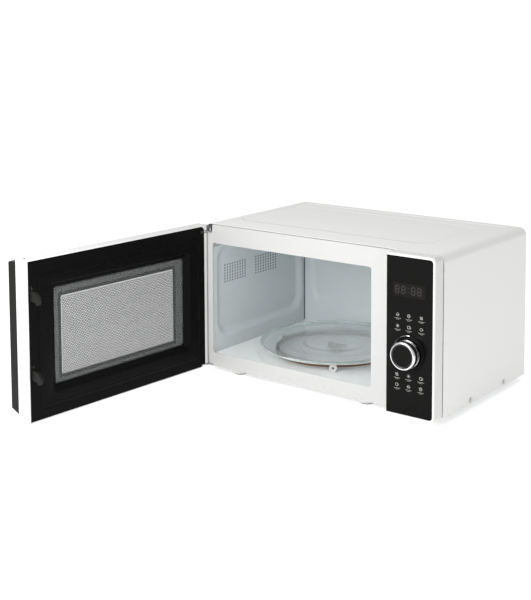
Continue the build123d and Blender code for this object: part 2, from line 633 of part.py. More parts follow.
def knob_ring():
    """Chromed ring round the front of the knob."""
    y1 = DOOR_OUT - 0.2 - KNOB_H
    outer = rod(KNOB_R, (KNOB_X, y1, KNOB_Z), (KNOB_X, y1 + 5, KNOB_Z))
    edge = outer.edges().filter_by(GeomType.CIRCLE).group_by(Axis.Y)[0]
    outer = fillet(edge, 1.8)
    return outer - rod(15.7, (KNOB_X, y1 - 1, KNOB_Z), (KNOB_X, y1 + 6, KNOB_Z))


def key_foil():
    """Membrane with the touch areas, behind the lower and upper key fields."""
    y = DOOR_OUT + DARK_GLASS_T + 2
    fields = [block(152, 206, y, y + 1.0, z0, z1) for z0, z1 in ((132, 164), (44, 78))]
    return group(fields)


# ---------------------------------------------------------------- turntable


def coupler():
    """Three-lobed drive coupler on the motor shaft."""
    z0 = WELL_Z + 0.6
    body = rod(11.0, (TABLE_X, TABLE_Y, z0), (TABLE_X, TABLE_Y, PLATE_Z - 1.0))
    for a in range(3):
        lobe = block(0, 19.0, -4.0, 4.0, PLATE_Z - 5.0, PLATE_Z - 0.0)
        lobe = fillet(lobe.edges().filter_by(Axis.Z).sort_by(Axis.X)[-2:], 3.0)
        body += Pos(TABLE_X, TABLE_Y, 0) * lobe.rotate(Axis.Z, a * 120 + 30)
    body += rod(3.2 - PIN_FIT, (TABLE_X, TABLE_Y, WELL_Z - SHEET - 9), (TABLE_X, TABLE_Y, z0))
    return body


def glass_plate():
    """245 mm glass turntable with a raised rim and a step round the hub."""
    z = PLATE_Z
    t = 3.6
    profile = [
        (0, z + 0.0), (90, z + 0.0), (94, z + 0.6), (112, z + 0.6), (118, z + 1.6),
        (PLATE_R - 1.0, z + 4.4), (PLATE_R, z + 5.8), (PLATE_R - 0.6, z + 7.6),
        (PLATE_R - 3.0, z + 7.2), (115, z + t + 1.6), (94, z + t + 1.0), (88, z + t), (50, z + t),
        (47, z + t + 0.8), (44, z + t), (0, z + t),
    ]
    return turned(profile, TABLE_X, TABLE_Y)


def roller_ring():
    """Moulded ring that carries the three rollers."""
    z = ROLLER_Z
    body = turned([(92, z - 2), (97, z - 2), (97, z + 2.6), (92, z + 2.6)], TABLE_X, TABLE_Y)
    for a in range(3):
        axle = rod(1.6, (95, 0, z), (TRACK_R + 4.5, 0, z))
        body += Pos(TABLE_X, TABLE_Y, 0) * axle.rotate(Axis.Z, ROLLER_START + a * 120)
    return body


def roller(index):
    """One roller on its axle, lying radially."""
    z = ROLLER_Z
    wheel = ring(ROLLER_R, 1.6 + PIN_FIT, (TRACK_R - 3.5, 0, z), (TRACK_R + 3.5, 0, z))
    return Pos(TABLE_X, TABLE_Y, 0) * wheel.rotate(Axis.Z, ROLLER_START + index * 120)


# ---------------------------------------------------------------- door, drawn closed


def hinge_pocket(z0, z1):
    """Space in the door that a hinge tab needs at every angle."""
    near = rod(5.2, (HINGE_X, HINGE_Y, z0), (HINGE_X, HINGE_Y, z1))
    mouth = block(LEFT - 5, POCKET_X1, HINGE_Y, DOOR_IN + 1, z0, z1)
    side = block(LEFT - 5, HINGE_X, HINGE_Y - 5.2, DOOR_IN + 1, z0, z1)
    return near + mouth + side


def door_solid(z0, z1):
    """Solid inside the door's plan outline, with the finger scoop in its front."""
    left = Polyline((DOOR_X0, HINGE_Y), (DOOR_X0, DOOR_OUT), (SCOOP_X0, DOOR_OUT))
    scoop = ThreePointArc((SCOOP_X0, DOOR_OUT), (SCOOP_MID_X, SCOOP_MID_Y), (POST_X, SCOOP_Y))
    right = Polyline(
        (POST_X, SCOOP_Y), (POST_X, POST_OUT), (DOOR_X1, POST_OUT), (DOOR_X1, DOOR_IN),
        (HINGE_X, DOOR_IN), (HINGE_X, HINGE_Y), (DOOR_X0, HINGE_Y),
    )
    outline = Wire([*left.edges(), *scoop.edges(), *right.edges()])
    return extrude(Plane.XY.offset(z0) * Face(outline), z1 - z0)


def door_shell():
    """White moulded outer shell with the finger scoop beside its free edge."""
    t = DOOR_WALL
    body = door_solid(DOOR_Z0, DOOR_Z1)
    body += rod(HINGE_R, (HINGE_X, HINGE_Y, DOOR_Z0), (HINGE_X, HINGE_Y, DOOR_Z1))
    z0, z1 = DOOR_Z0 + t, DOOR_Z1 - t
    under_pane = Pos(0, DARK_GLASS_T + PANE_LEDGE, 0) * door_solid(z0, z1)
    under_pane &= block(DOOR_X0 + 1.4, PANE_X1 + 6, DOOR_OUT, DOOR_IN + 2, z0, z1)
    free_side = Pos(0, t, 0) * door_solid(z0, z1)
    free_side &= block(PANE_X1 + 6, DOOR_X1 - t, POST_OUT, DOOR_IN + 2, z0, z1)
    free_side -= block(POST_X, POST_X + t, POST_OUT, SCOOP_Y + t, z0, z1)
    pin_space = rod(HINGE_R - 1.4, (HINGE_X, HINGE_Y, z0), (HINGE_X, HINGE_Y, z1))
    hollow = under_pane + free_side + pin_space
    hollow += block(DOOR_X0 + 1.4, HINGE_X + 1, DOOR_OUT + 4, HINGE_Y, z0, z1)
    hollow += block(HINGE_X, HINGE_X + 5, HINGE_Y - 2, DOOR_IN - 1.4, z0, z1)
    lip = block(HINGE_X - 1, HINGE_X + 4.5, DOOR_IN - 1.4, DOOR_IN + 3, z0, z1)
    body -= hollow - lip - corner_fill()
    body -= pane_blank(0.0)
    for z in HANDLE_SCREW_Z:
        body -= rod(SCREW_R + 0.1, (SCREW_X, POST_OUT - 1, z), (SCREW_X, POST_OUT + t + 1, z))
    window = upright_plate(
        BEVEL_X0 + 6, PANE_X1 - 4, BEVEL_Z0 - 4, BEVEL_Z1 + 4, DOOR_OUT - 1, DOOR_IN, 4
    )
    body -= window & under_window()
    body -= hinge_pocket(TAB_TOP_Z - 1.2, TAB_TOP_Z + TAB_T + 1.2)
    body -= hinge_pocket(DOOR_Z0 - 1, TAB_LOW_Z + TAB_T + 1.2)
    return body


def corner_fill():
    """White web behind the pan's rounded top corner beside the hinge."""
    x, z = HINGE_X + 4.6 + CORNER_R, DOOR_Z1 - DOOR_WALL - 0.1 - CORNER_R
    web = block(HINGE_X + 4.0, x, DOOR_IN - 1.4, DOOR_IN, z, DOOR_Z1)
    return web - rod(CORNER_R + 0.1, (x, DOOR_IN - 3, z), (x, DOOR_IN + 1, z))


def under_window():
    """The front skin of the shell, pane and ledge together."""
    solid = door_solid(DOOR_Z0, DOOR_Z1)
    return solid - Pos(0, DARK_GLASS_T + PANE_LEDGE + 1.0, 0) * solid


def pane_blank(shrink):
    """Dark pane that follows the flat front and the start of the scoop."""
    solid = door_solid(DOOR_Z0, DOOR_Z1)
    skin = solid - Pos(0, DARK_GLASS_T - shrink, 0) * solid
    s = shrink
    return skin & upright_plate(
        DOOR_X0 + 7 + s, PANE_X1 - s, DOOR_Z0 + 7 + s, DOOR_Z1 - 7 - s, DOOR_OUT - 1, DOOR_IN, 5.0
    )


def door_front_glass():
    """Dark pane that covers the outside of the door."""
    return pane_blank(0.1)


def door_steel_frame():
    """Black steel pan of the door with a choke wall round the cover."""
    x0, x1 = HINGE_X + 4.6, DOOR_X1 - DOOR_WALL - 0.1
    z0, z1 = DOOR_Z0 + DOOR_WALL + 0.1, DOOR_Z1 - DOOR_WALL - 0.1
    pan = upright_plate(x0, x1, z0, z1, DOOR_IN - 1.2, DOOR_IN)
    hinge_side = pan.edges().filter_by(Axis.Y).group_by(Axis.Z)[-1].sort_by(Axis.X)[0]
    pan = fillet(hinge_side, CORNER_R)
    pan += upright_plate(
        COVER_X0 - 1.4, COVER_X1 + 1.4, COVER_Z0 - 1.4, COVER_Z1 + 1.4, DOOR_IN - 4.4, DOOR_IN - 1.2, 11.4
    )
    pan -= upright_plate(
        COVER_X0 - 0.4, COVER_X1 + 0.4, COVER_Z0 - 0.4, COVER_Z1 + 0.4, DOOR_IN - 5, DOOR_IN + 1, 10.4
    )
    for z in HOOK_Z:
        top = z + HOOK_H + HOOK_LIFT + 2.0
        pan -= block(HOOK_X0 - 1.5, HOOK_X1 + 1.5, DOOR_IN - 3, DOOR_IN + 1, z - 2.0, top)
    pan -= hinge_pocket(TAB_TOP_Z - 1.2, TAB_TOP_Z + TAB_T + 1.2)
    pan -= hinge_pocket(DOOR_Z0 - 1, TAB_LOW_Z + TAB_T + 1.2)
    return pan


def screen_plate():
    """Thin perforated steel screen behind the window."""
    return upright_plate(BEVEL_X0 + 4, BEVEL_X1 - 9, BEVEL_Z0 + 2, BEVEL_Z1 - 2, SCREEN_Y - 0.6, SCREEN_Y, 4)


def window_film():
    """Clear film that keeps steam out of the screen."""
    return upright_plate(
        BEVEL_X0 + 5, BEVEL_X1 - 10, BEVEL_Z0 + 4, BEVEL_Z1 - 4, SCREEN_Y, SCREEN_Y + 0.3, 4
    )


def choke_cover():
    """Black moulded inner cover with a bevelled mouth round the window."""
    face = upright_plate(COVER_X0, COVER_X1, COVER_Z0, COVER_Z1, DOOR_IN - 1.4, DOOR_IN, 10)
    deep = SCREEN_Y + 0.3
    outer = upright_taper(
        BEVEL_X0 - 1.6, BEVEL_X1 + 1.6, BEVEL_Z0 - 1.6, BEVEL_Z1 + 1.6, DOOR_IN - 0.6, deep, 7, 8
    )
    mouth = upright_taper(BEVEL_X0, BEVEL_X1, BEVEL_Z0, BEVEL_Z1, DOOR_IN + 0.01, deep - 0.01, 6, 8)
    return face + outer - mouth


def hinge_ears():
    """Steel ears on the door, bored for the hinge pins."""
    parts = []
    for tab_z, side in ((TAB_TOP_Z, -1), (TAB_LOW_Z + TAB_T, 1)):
        z0 = tab_z + side * 4.0
        z1 = z0 + side * EAR_T
        low, high = min(z0, z1), max(z0, z1)
        ear = rod(PIN_R + 0.45, (HINGE_X, HINGE_Y, low), (HINGE_X, HINGE_Y, high))
        ear += block(HINGE_X, HINGE_X + 16, HINGE_Y - 5, HINGE_Y + 1.8, low, high)
        ear -= rod(PIN_R + PIN_FIT, (HINGE_X, HINGE_Y, low - 1), (HINGE_X, HINGE_Y, high + 1))
        parts.append(ear)
    return group(parts)


def handle_bar():
    """Black handle on the free-edge wall, overhanging the scoop."""
    plan = [
        (114.0, HANDLE_OUT + 8.5), (115.5, HANDLE_OUT + 2.5), (123.0, HANDLE_OUT),
        (136.0, HANDLE_OUT), (139.2, HANDLE_OUT + 3.5), (139.2, POST_OUT),
        (POST_X + 0.4, POST_OUT), (131.5, POST_OUT - 7.5), (122.0, POST_OUT - 10.0),
    ]
    side = [
        (POST_OUT, HANDLE_Z0), (HANDLE_OUT + 2.0, HANDLE_Z0 + 7.0), (HANDLE_OUT, HANDLE_Z0 + 9.5),
        (HANDLE_OUT, HANDLE_Z1 - 7.0), (HANDLE_OUT + 2.0, HANDLE_Z1 - 2.5),
        (HANDLE_OUT + 6.0, HANDLE_Z1), (POST_OUT, HANDLE_Z1),
    ]
    section = make_face(Polyline(*plan, close=True))
    bar = extrude(Plane.XY.offset(HANDLE_Z0) * section, HANDLE_Z1 - HANDLE_Z0)
    edge_view = Plane(origin=(100, 0, 0), x_dir=(0, 1, 0), z_dir=(1, 0, 0))
    bar &= extrude(edge_view * make_face(Polyline(*side, close=True)), 45)
    for z in HANDLE_SCREW_Z:
        bar -= rod(SCREW_R, (SCREW_X, POST_OUT - 8, z), (SCREW_X, POST_OUT + 1, z))
    return bar


def handle_screws():
    """Screws inside the free-edge wall that hold the handle."""
    parts = []
    for z in HANDLE_SCREW_Z:
        inside = POST_OUT + DOOR_WALL
        shank = rod(SCREW_R, (SCREW_X, POST_OUT - 8, z), (SCREW_X, inside, z))
        parts.append(shank + rod(SCREW_HEAD_R, (SCREW_X, inside, z), (SCREW_X, inside + 1.6, z)))
    return group(parts)


# ---------------------------------------------------------------- latch in the door
def latch_lever():
    """Sliding bar with the two hooks that hold the door shut."""
    y0, y1 = DOOR_IN - 3.6, DOOR_IN - 1.2 - GAP
    bar = block(HOOK_X0, HOOK_X1, y0, y1, HOOK_Z[0] - 4, HOOK_Z[1] + HOOK_H + 4)
    for z in HOOK_Z:
        outline = [
            (y1 - 1, z), (DOOR_IN + HOOK_OUT - 8, z), (DOOR_IN + HOOK_OUT - 8, z - 3.2 + 0.0),
            (DOOR_IN + HOOK_OUT - 3, z - 3.2), (DOOR_IN + HOOK_OUT, z + 3), (DOOR_IN + HOOK_OUT, z + 7),
            (DOOR_IN + HOOK_OUT - 9, z + HOOK_H - 2), (DOOR_IN + 2, z + HOOK_H), (y1 - 1, z + HOOK_H),
        ]
        side = Plane(origin=(HOOK_X0, 0, 0), x_dir=(0, 1, 0), z_dir=(1, 0, 0))
        bar += extrude(side * make_face(Polyline(*outline, close=True)), HOOK_X1 - HOOK_X0)
    return bar


def latch_spring():
    """Coil spring that pulls the latch bar down."""
    x, y = (HOOK_X0 + HOOK_X1) / 2, DOOR_IN - 2.9
    return rod(1.2, (x, y, 40), (x, y, HOOK_Z[0] - 4.3))


# ---------------------------------------------------------------- feet and fixings
FOOT_SPOTS = [
    (LEFT + FOOT_INSET_X, FRONT + FOOT_INSET_Y), (77.0, FRONT + 25),
    (LEFT + FOOT_INSET_X, REAR - 25), (180.0, REAR - 25), (190.0, FRONT + 34),
]


def feet():
    """Five moulded feet."""
    parts = []
    for x, y in FOOT_SPOTS:
        profile = [(0, 1.6), (12.5, 1.6), (15, 3.0), (15, 7.0), (13.5, FOOT_H), (0, FOOT_H)]
        parts.append(turned(profile, x, y))
    return group(parts)


def foot_pads():
    """Rubber pads under the feet."""
    return group([rod(11, (x, y, 0), (x, y, 1.6)) for x, y in FOOT_SPOTS])


def side_screws():
    """Pan-head screws low on both sides of the wrap."""
    parts = []
    for side in (-1, 1):
        for y in (FRONT + 85, FRONT + 192):
            x = side * CABINET_W / 2
            head = rod(3.6, (x, y, BOTTOM + 5.5), (x + side * 1.8, y, BOTTOM + 5.5))
            parts.append(head)
    return group(parts)


def rear_screws():
    """Pan-head screws that hold the rear panel."""
    y = REAR - 3.0 + SHEET
    spots = [(-206, 30), (-206, 130), (-206, 222), (206, 60), (206, 130), (206, 222), (-60, 234), (60, 234)]
    return group([rod(3.4, (x, y, z), (x, y + 1.8, z)) for x, z in spots])


# ---------------------------------------------------------------- build
CABINET_PARTS = {
    "outer_wrap": outer_wrap,
    "base_plate": base_plate,
    "motor_cover": motor_cover,
    "rear_panel": rear_panel,
    "front_plate": front_plate,
    "cavity_shell": cavity_shell,
    "waveguide": waveguide,
    "waveguide_cover": waveguide_cover,
    "magnetron_body": magnetron_body,
    "magnetron_antenna": magnetron_antenna,
    "magnetron_filter_box": filter_box,
    "transformer_core": transformer_core,
    "transformer_windings": transformer_windings,
    "capacitor": capacitor,
    "rectifier_diode": rectifier_diode,
    "fan_shroud": fan_shroud,
    "fan_motor": fan_motor,
    "fan_blade": fan_blade,
    "lamp_holder": lamp_holder,
    "oven_lamp": oven_lamp,
    "thermal_cutouts": thermal_cutout,
    "noise_filter_board": noise_filter_board,
    "mains_gland": mains_gland,
    "turntable_motor": turntable_motor,
    "air_duct": air_duct,
    "latch_bracket": latch_bracket,
    "interlock_lever": interlock_lever,
    "door_switches": door_switches,
    "control_panel_frame": control_panel_frame,
    "control_glass": control_glass,
    "display_module": display_module,
    "control_board": control_board,
    "encoder_body": encoder_body,
    "knob_bezel": knob_bezel,
    "knob_body": knob_body,
    "knob_ring": knob_ring,
    "key_foils": key_foil,
    "drive_coupler": coupler,
    "glass_plate": glass_plate,
    "roller_ring": roller_ring,
    "feet": feet,
    "foot_pads": foot_pads,
    "side_screws": side_screws,
    "rear_screws": rear_screws,
}

DOOR_PARTS = {
    "door_shell": door_shell,
    "door_front_glass": door_front_glass,
    "door_steel_frame": door_steel_frame,
    "screen_plate": screen_plate,
    "window_film": window_film,
    "choke_cover": choke_cover,
    "hinge_ears": hinge_ears,
    "handle_bar": handle_bar,
    "handle_screws": handle_screws,
    "latch_lever": latch_lever,
    "latch_spring": latch_spring,
}


def main():
    os.makedirs("parts", exist_ok=True)
    for node, maker in CABINET_PARTS.items():
        save(maker(), node)
    save(hinge_bracket(TAB_TOP_Z, -1), "upper_hinge_bracket")
    save(hinge_bracket(TAB_LOW_Z, 1), "lower_hinge_bracket")
    for index in range(3):
        save(roller(index), f"roller_{index + 1}")
    for node, maker in DOOR_PARTS.items():
        save(opened(maker()), node)


main()
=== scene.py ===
# %% [markdown]
# # A countertop microwave oven, dressed over its engineering model
# The solid model already knows every size, mount and joint of this oven, so Blender has one
# job here: looks. We load that model as a fixed frame, give each part the finish its real
# counterpart has, and swap in finer meshes where the real piece has detail that a solid
# model leaves out, such as the punched holes of the door's screen.

# %% Load the frame
import bpy
import json
import math
from mathutils import Matrix, Vector


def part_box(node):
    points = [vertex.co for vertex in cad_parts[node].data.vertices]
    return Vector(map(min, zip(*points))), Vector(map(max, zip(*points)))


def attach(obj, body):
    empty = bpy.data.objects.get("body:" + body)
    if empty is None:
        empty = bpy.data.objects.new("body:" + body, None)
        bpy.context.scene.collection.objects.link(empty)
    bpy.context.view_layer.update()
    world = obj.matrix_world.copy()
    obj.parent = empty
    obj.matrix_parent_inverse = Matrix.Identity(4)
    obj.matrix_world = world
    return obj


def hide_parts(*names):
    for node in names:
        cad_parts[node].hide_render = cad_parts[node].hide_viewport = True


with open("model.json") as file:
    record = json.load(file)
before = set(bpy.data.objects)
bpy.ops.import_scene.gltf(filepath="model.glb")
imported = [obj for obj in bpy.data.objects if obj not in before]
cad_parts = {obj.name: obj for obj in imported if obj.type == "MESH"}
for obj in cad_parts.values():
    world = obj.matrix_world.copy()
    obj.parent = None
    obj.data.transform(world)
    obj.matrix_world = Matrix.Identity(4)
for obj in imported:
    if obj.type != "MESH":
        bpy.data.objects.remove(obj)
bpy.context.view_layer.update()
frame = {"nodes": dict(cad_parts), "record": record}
nodes = frame["nodes"]

# %% [markdown]
# Everything is in metres in the frame of the solid model. Most of an oven is described from
# the middle of its cabinet, so we read the cabinet's box once and keep a helper that turns
# "so many millimetres right of the middle, back of the front plate, above the worktop" into
# a point. Positions then follow the frame instead of being typed in twice.

# %% Reference points read from the frame
MM = 0.001


def span(node):
    """Low and high corner of a node, as two vectors."""
    low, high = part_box(node)
    return Vector(low), Vector(high)


wrap_low, wrap_high = span("outer_wrap")
face_low, _ = span("front_plate")
CENTRE_X = (wrap_low.x + wrap_high.x) / 2
CENTRE_Y = (face_low.y + wrap_high.y) / 2


def at(x, y, z):
    """Point x mm right of and y mm behind the cabinet's middle, z mm above the worktop."""
    return Vector((CENTRE_X + x * MM, CENTRE_Y + y * MM, z * MM))


def from_middle(node):
    """Low and high corner of a node, in millimetres as at() takes them."""
    return [Vector(((p.x - CENTRE_X) / MM, (p.y - CENTRE_Y) / MM, p.z / MM)) for p in span(node)]


HALF_DEPTH = (wrap_high.y - face_low.y) / 2 / MM
FACE = -HALF_DEPTH
print("cabinet middle", round(CENTRE_X, 4), round(CENTRE_Y, 4), "face at", round(FACE, 1), "mm")

# %% [markdown]
# The door stands open, but its parts are far easier to describe closed, flat against the
# cabinet. The hinge joint in the record says where its axis is and how far the door has
# still to travel to shut, so one matrix carries anything drawn closed to the open place.

# %% From the closed door to the open one
hinge = next(j for j in frame["record"]["behaviour"]["joints"] if j["name"] == "door_hinge")
axis_point = Vector(hinge["pos_m"])
swing = math.radians(hinge["range_deg"][0])
AJAR = Matrix.Translation(axis_point) @ Matrix.Rotation(swing, 4, "Z") @ Matrix.Translation(-axis_point)
print("door stands", round(-hinge["range_deg"][0], 1), "degrees open")

# %% [markdown]
# ## Shared surface effects
# Real finishes are never one flat number. Powder coat has a faint orange peel, moulded
# plastic a fine spark-erosion grain, and every gloss is a little uneven. These effects are
# wanted in many materials at different strengths, so each is a node group with sockets.

# %% Helpers that build node groups


def new_group(name, inputs, outputs):
    """Empty shader node group with the given sockets, each (name, kind, default)."""
    group = bpy.data.node_groups.new(name, "ShaderNodeTree")
    for label, kind, default in inputs:
        socket = group.interface.new_socket(label, in_out="INPUT", socket_type=kind)
        socket.default_value = default
    for label, kind in outputs:
        group.interface.new_socket(label, in_out="OUTPUT", socket_type=kind)
    return group, group.nodes.new("NodeGroupInput"), group.nodes.new("NodeGroupOutput")


def add(tree, kind, links=(), **values):
    """One node: values set its properties or sockets, links is (socket, source socket)."""
    node = tree.nodes.new(kind)
    for key, value in values.items():
        if hasattr(node, key):
            setattr(node, key, value)
        else:
            node.inputs[key.replace("_", " ")].default_value = value
    for key, source in links:
        tree.links.new(source, node.inputs[key])
    return node


# %% Fine grain: the tiny relief of coats and mouldings
grain, g_in, g_out = new_group(
    "Fine grain",
    [("Scale", "NodeSocketFloat", 900.0), ("Depth", "NodeSocketFloat", 0.2)],
    [("Height", "NodeSocketFloat"), ("Normal", "NodeSocketVector")],
)
place = add(grain, "ShaderNodeTexCoord")
fine = add(
    grain, "ShaderNodeTexNoise",
    [("Vector", place.outputs["Object"]), ("Scale", g_in.outputs["Scale"])],
    Detail=3.0, Roughness=0.55,
)
bump = add(
    grain, "ShaderNodeBump",
    [("Strength", g_in.outputs["Depth"]), ("Height", fine.outputs["Fac"])],
    Distance=0.0004,
)
grain.links.new(fine.outputs["Fac"], g_out.inputs["Height"])
grain.links.new(bump.outputs["Normal"], g_out.inputs["Normal"])

# %% Uneven tone: slow drift of colour and gloss over a surface
tone, t_in, t_out = new_group(
    "Uneven tone",
    [
        ("Colour", "NodeSocketColor", (0.8, 0.8, 0.8, 1)),
        ("Tint", "NodeSocketColor", (0.7, 0.7, 0.68, 1)),
        ("Amount", "NodeSocketFloat", 0.2),
        ("Gloss", "NodeSocketFloat", 0.35),
        ("Gloss drift", "NodeSocketFloat", 0.08),
        ("Scale", "NodeSocketFloat", 9.0),
    ],
    [("Colour", "NodeSocketColor"), ("Roughness", "NodeSocketFloat")],
)
place = add(tone, "ShaderNodeTexCoord")
slow = add(
    tone, "ShaderNodeTexNoise",
    [("Vector", place.outputs["Object"]), ("Scale", t_in.outputs["Scale"])],
    Detail=4.0, Roughness=0.6,
)
weight = add(
    tone, "ShaderNodeMath",
    [(0, slow.outputs["Fac"]), (1, t_in.outputs["Amount"])], operation="MULTIPLY",
)
blend = add(
    tone, "ShaderNodeMix",
    [(0, weight.outputs[0]), (6, t_in.outputs["Colour"]), (7, t_in.outputs["Tint"])],
    data_type="RGBA",
)
drift = add(
    tone, "ShaderNodeMath",
    [(0, slow.outputs["Fac"]), (1, t_in.outputs["Gloss drift"]), (2, t_in.outputs["Gloss"])],
    operation="MULTIPLY_ADD",
)
tone.links.new(blend.outputs[2], t_out.inputs["Colour"])
tone.links.new(drift.outputs[0], t_out.inputs["Roughness"])

# %% Brushed lines: rolling marks of bare sheet steel
brush, b_in, b_out = new_group(
    "Rolling marks",
    [("Length", "NodeSocketFloat", 30.0), ("Depth", "NodeSocketFloat", 0.25)],
    [("Mask", "NodeSocketFloat"), ("Normal", "NodeSocketVector")],
)
place = add(brush, "ShaderNodeTexCoord")
stretch = add(brush, "ShaderNodeMapping", [("Vector", place.outputs["Object"])], Scale=(12, 12, 700))
lines = add(
    brush, "ShaderNodeTexNoise",
    [("Vector", stretch.outputs[0]), ("Scale", b_in.outputs["Length"])], Detail=4.0,
)
line_bump = add(
    brush, "ShaderNodeBump",
    [("Strength", b_in.outputs["Depth"]), ("Height", lines.outputs["Fac"])], Distance=0.0002,
)
brush.links.new(lines.outputs["Fac"], b_out.inputs["Mask"])
brush.links.new(line_bump.outputs["Normal"], b_out.inputs["Normal"])
print("groups:", [g.name for g in bpy.data.node_groups])

# %% [markdown]
# ## Finishes
# One function makes a finish from its tone, gloss and grain. The Principled shader stays in
# the material, with its fixed numbers on its own sockets, and only what varies over the
# surface is fed from the groups.

# %% A finish from plain words


def finish(name, colour, tint, amount=0.2, gloss=0.35, drift=0.08, scale=9.0,
           grain_scale=900.0, depth=0.15, rolled=False, **principled):
    """Material with an uneven tone and a fine relief."""
    made = bpy.data.materials.new(name)
    made.use_nodes = True
    tree = made.node_tree
    shader = tree.nodes["Principled BSDF"]
    for key, value in principled.items():
        shader.inputs[key.replace("_", " ")].default_value = value
    mood = add(
        tree, "ShaderNodeGroup", node_tree=tone, Colour=(*colour, 1), Tint=(*tint, 1),
        Amount=amount, Gloss=gloss, Scale=scale,
    )
    mood.inputs["Gloss drift"].default_value = drift
    if rolled:
        relief = add(tree, "ShaderNodeGroup", node_tree=brush, Depth=depth)
    else:
        relief = add(tree, "ShaderNodeGroup", node_tree=grain, Scale=grain_scale, Depth=depth)
    tree.links.new(mood.outputs["Colour"], shader.inputs["Base Color"])
    tree.links.new(mood.outputs["Roughness"], shader.inputs["Roughness"])
    tree.links.new(relief.outputs["Normal"], shader.inputs["Normal"])
    made.diffuse_color = (*colour, 1)
    return made


# %% The finishes of this oven
FINISHES = {
    "white_enamel": finish("Powder coat white", (0.78, 0.78, 0.77), (0.72, 0.72, 0.70),
                           gloss=0.32, grain_scale=700, depth=0.10),
    "cavity_enamel": finish("Oven enamel grey", (0.63, 0.675, 0.69), (0.60, 0.64, 0.65),
                            gloss=0.30, grain_scale=600, depth=0.12),
    "black_enamel": finish("Black enamel", (0.002, 0.002, 0.0019), (0.004, 0.004, 0.0038),
                           gloss=0.42, grain_scale=800, depth=0.12, Specular_IOR_Level=0.05),
    "galvanised": finish("Zinc plated sheet", (0.50, 0.51, 0.52), (0.38, 0.39, 0.41),
                         amount=0.5, gloss=0.30, drift=0.2, scale=30, rolled=True, Metallic=1.0),
    "dark_glass": finish("Dark panel glass", (0.004, 0.004, 0.0038), (0.007, 0.007, 0.0065),
                         gloss=0.08, drift=0.05, grain_scale=60, depth=0.02, Specular_IOR_Level=0.06),
    # The white mouldings get a white darker than the wrap's (0.68 against 0.78): painted shade, set to
    # match how they are lit
    "white_plastic": finish("Moulded white", (0.68, 0.68, 0.672), (0.63, 0.63, 0.618),
                            gloss=0.30, grain_scale=1400, depth=0.08),
    "black_plastic": finish("Moulded black", (0.006, 0.006, 0.0056), (0.012, 0.0115, 0.011),
                            gloss=0.34, grain_scale=1600, depth=0.18, Specular_IOR_Level=0.12),
    "grey_plastic": finish("Moulded grey", (0.16, 0.165, 0.17), (0.12, 0.12, 0.13),
                           gloss=0.5, grain_scale=1500, depth=0.2),
    "brown_phenolic": finish("Brown roller moulding", (0.13, 0.055, 0.028), (0.08, 0.03, 0.015),
                             gloss=0.42, grain_scale=1200, depth=0.2),
    "mica": finish("Pressed mica", (0.50, 0.47, 0.40), (0.32, 0.29, 0.22), amount=0.6,
                   gloss=0.4, drift=0.3, scale=80, grain_scale=500, depth=0.25),
    "smoked_pane": finish("Smoked pane", (0.006, 0.006, 0.006), (0.010, 0.010, 0.010), gloss=0.05,
                          grain_scale=60, depth=0.005, Alpha=0.24, Specular_IOR_Level=0.4),
    "chrome": finish("Bright plating", (0.75, 0.75, 0.76), (0.62, 0.62, 0.63), gloss=0.08,
                     drift=0.08, depth=0.05, Metallic=1.0),
    "copper_wire": finish("Enamelled winding", (0.45, 0.16, 0.06), (0.30, 0.09, 0.03),
                          amount=0.6, gloss=0.3, scale=60, rolled=True, depth=0.6, Metallic=0.6),
    "silicon_steel": finish("Varnished laminations", (0.14, 0.14, 0.15), (0.08, 0.07, 0.06),
                            amount=0.6, gloss=0.4, rolled=True, depth=0.6, Metallic=0.8),
    "circuit_board": finish("Solder mask green", (0.02, 0.10, 0.04), (0.03, 0.15, 0.06),
                            amount=0.5, gloss=0.25, scale=120, depth=0.1),
    "amber_film": finish("Amber circuit film", (0.40, 0.20, 0.04), (0.28, 0.12, 0.02),
                         gloss=0.2, depth=0.05),
    "aluminium": finish("Pressed aluminium", (0.60, 0.60, 0.61), (0.50, 0.50, 0.52),
                        amount=0.4, gloss=0.32, rolled=True, Metallic=1.0),
    "ceramic": finish("Glazed ceramic", (0.72, 0.69, 0.62), (0.62, 0.58, 0.50), gloss=0.2),
    "rubber": finish("Foot pad rubber", (0.025, 0.025, 0.024), (0.04, 0.04, 0.038),
                     gloss=0.7, grain_scale=500, depth=0.4),
    "screw_steel": finish("Screw plating", (0.55, 0.55, 0.54), (0.40, 0.40, 0.41), gloss=0.25,
                          drift=0.15, scale=90, Metallic=1.0),
    "spring_steel": finish("Music wire", (0.42, 0.42, 0.43), (0.30, 0.30, 0.31), gloss=0.25,
                           Metallic=1.0),
    "clear_glass": finish("Turntable glass", (0.93, 0.98, 0.96), (0.88, 0.96, 0.93), gloss=0.03,
                          drift=0.03, grain_scale=40, depth=0.03, Transmission_Weight=1.0, IOR=1.5,
                          Alpha=0.4),
    "clear_film": finish("Clear film", (0.9, 0.92, 0.92), (0.85, 0.88, 0.88), gloss=0.08,
                         depth=0.005, Alpha=0.06, Specular_IOR_Level=0.15),
}
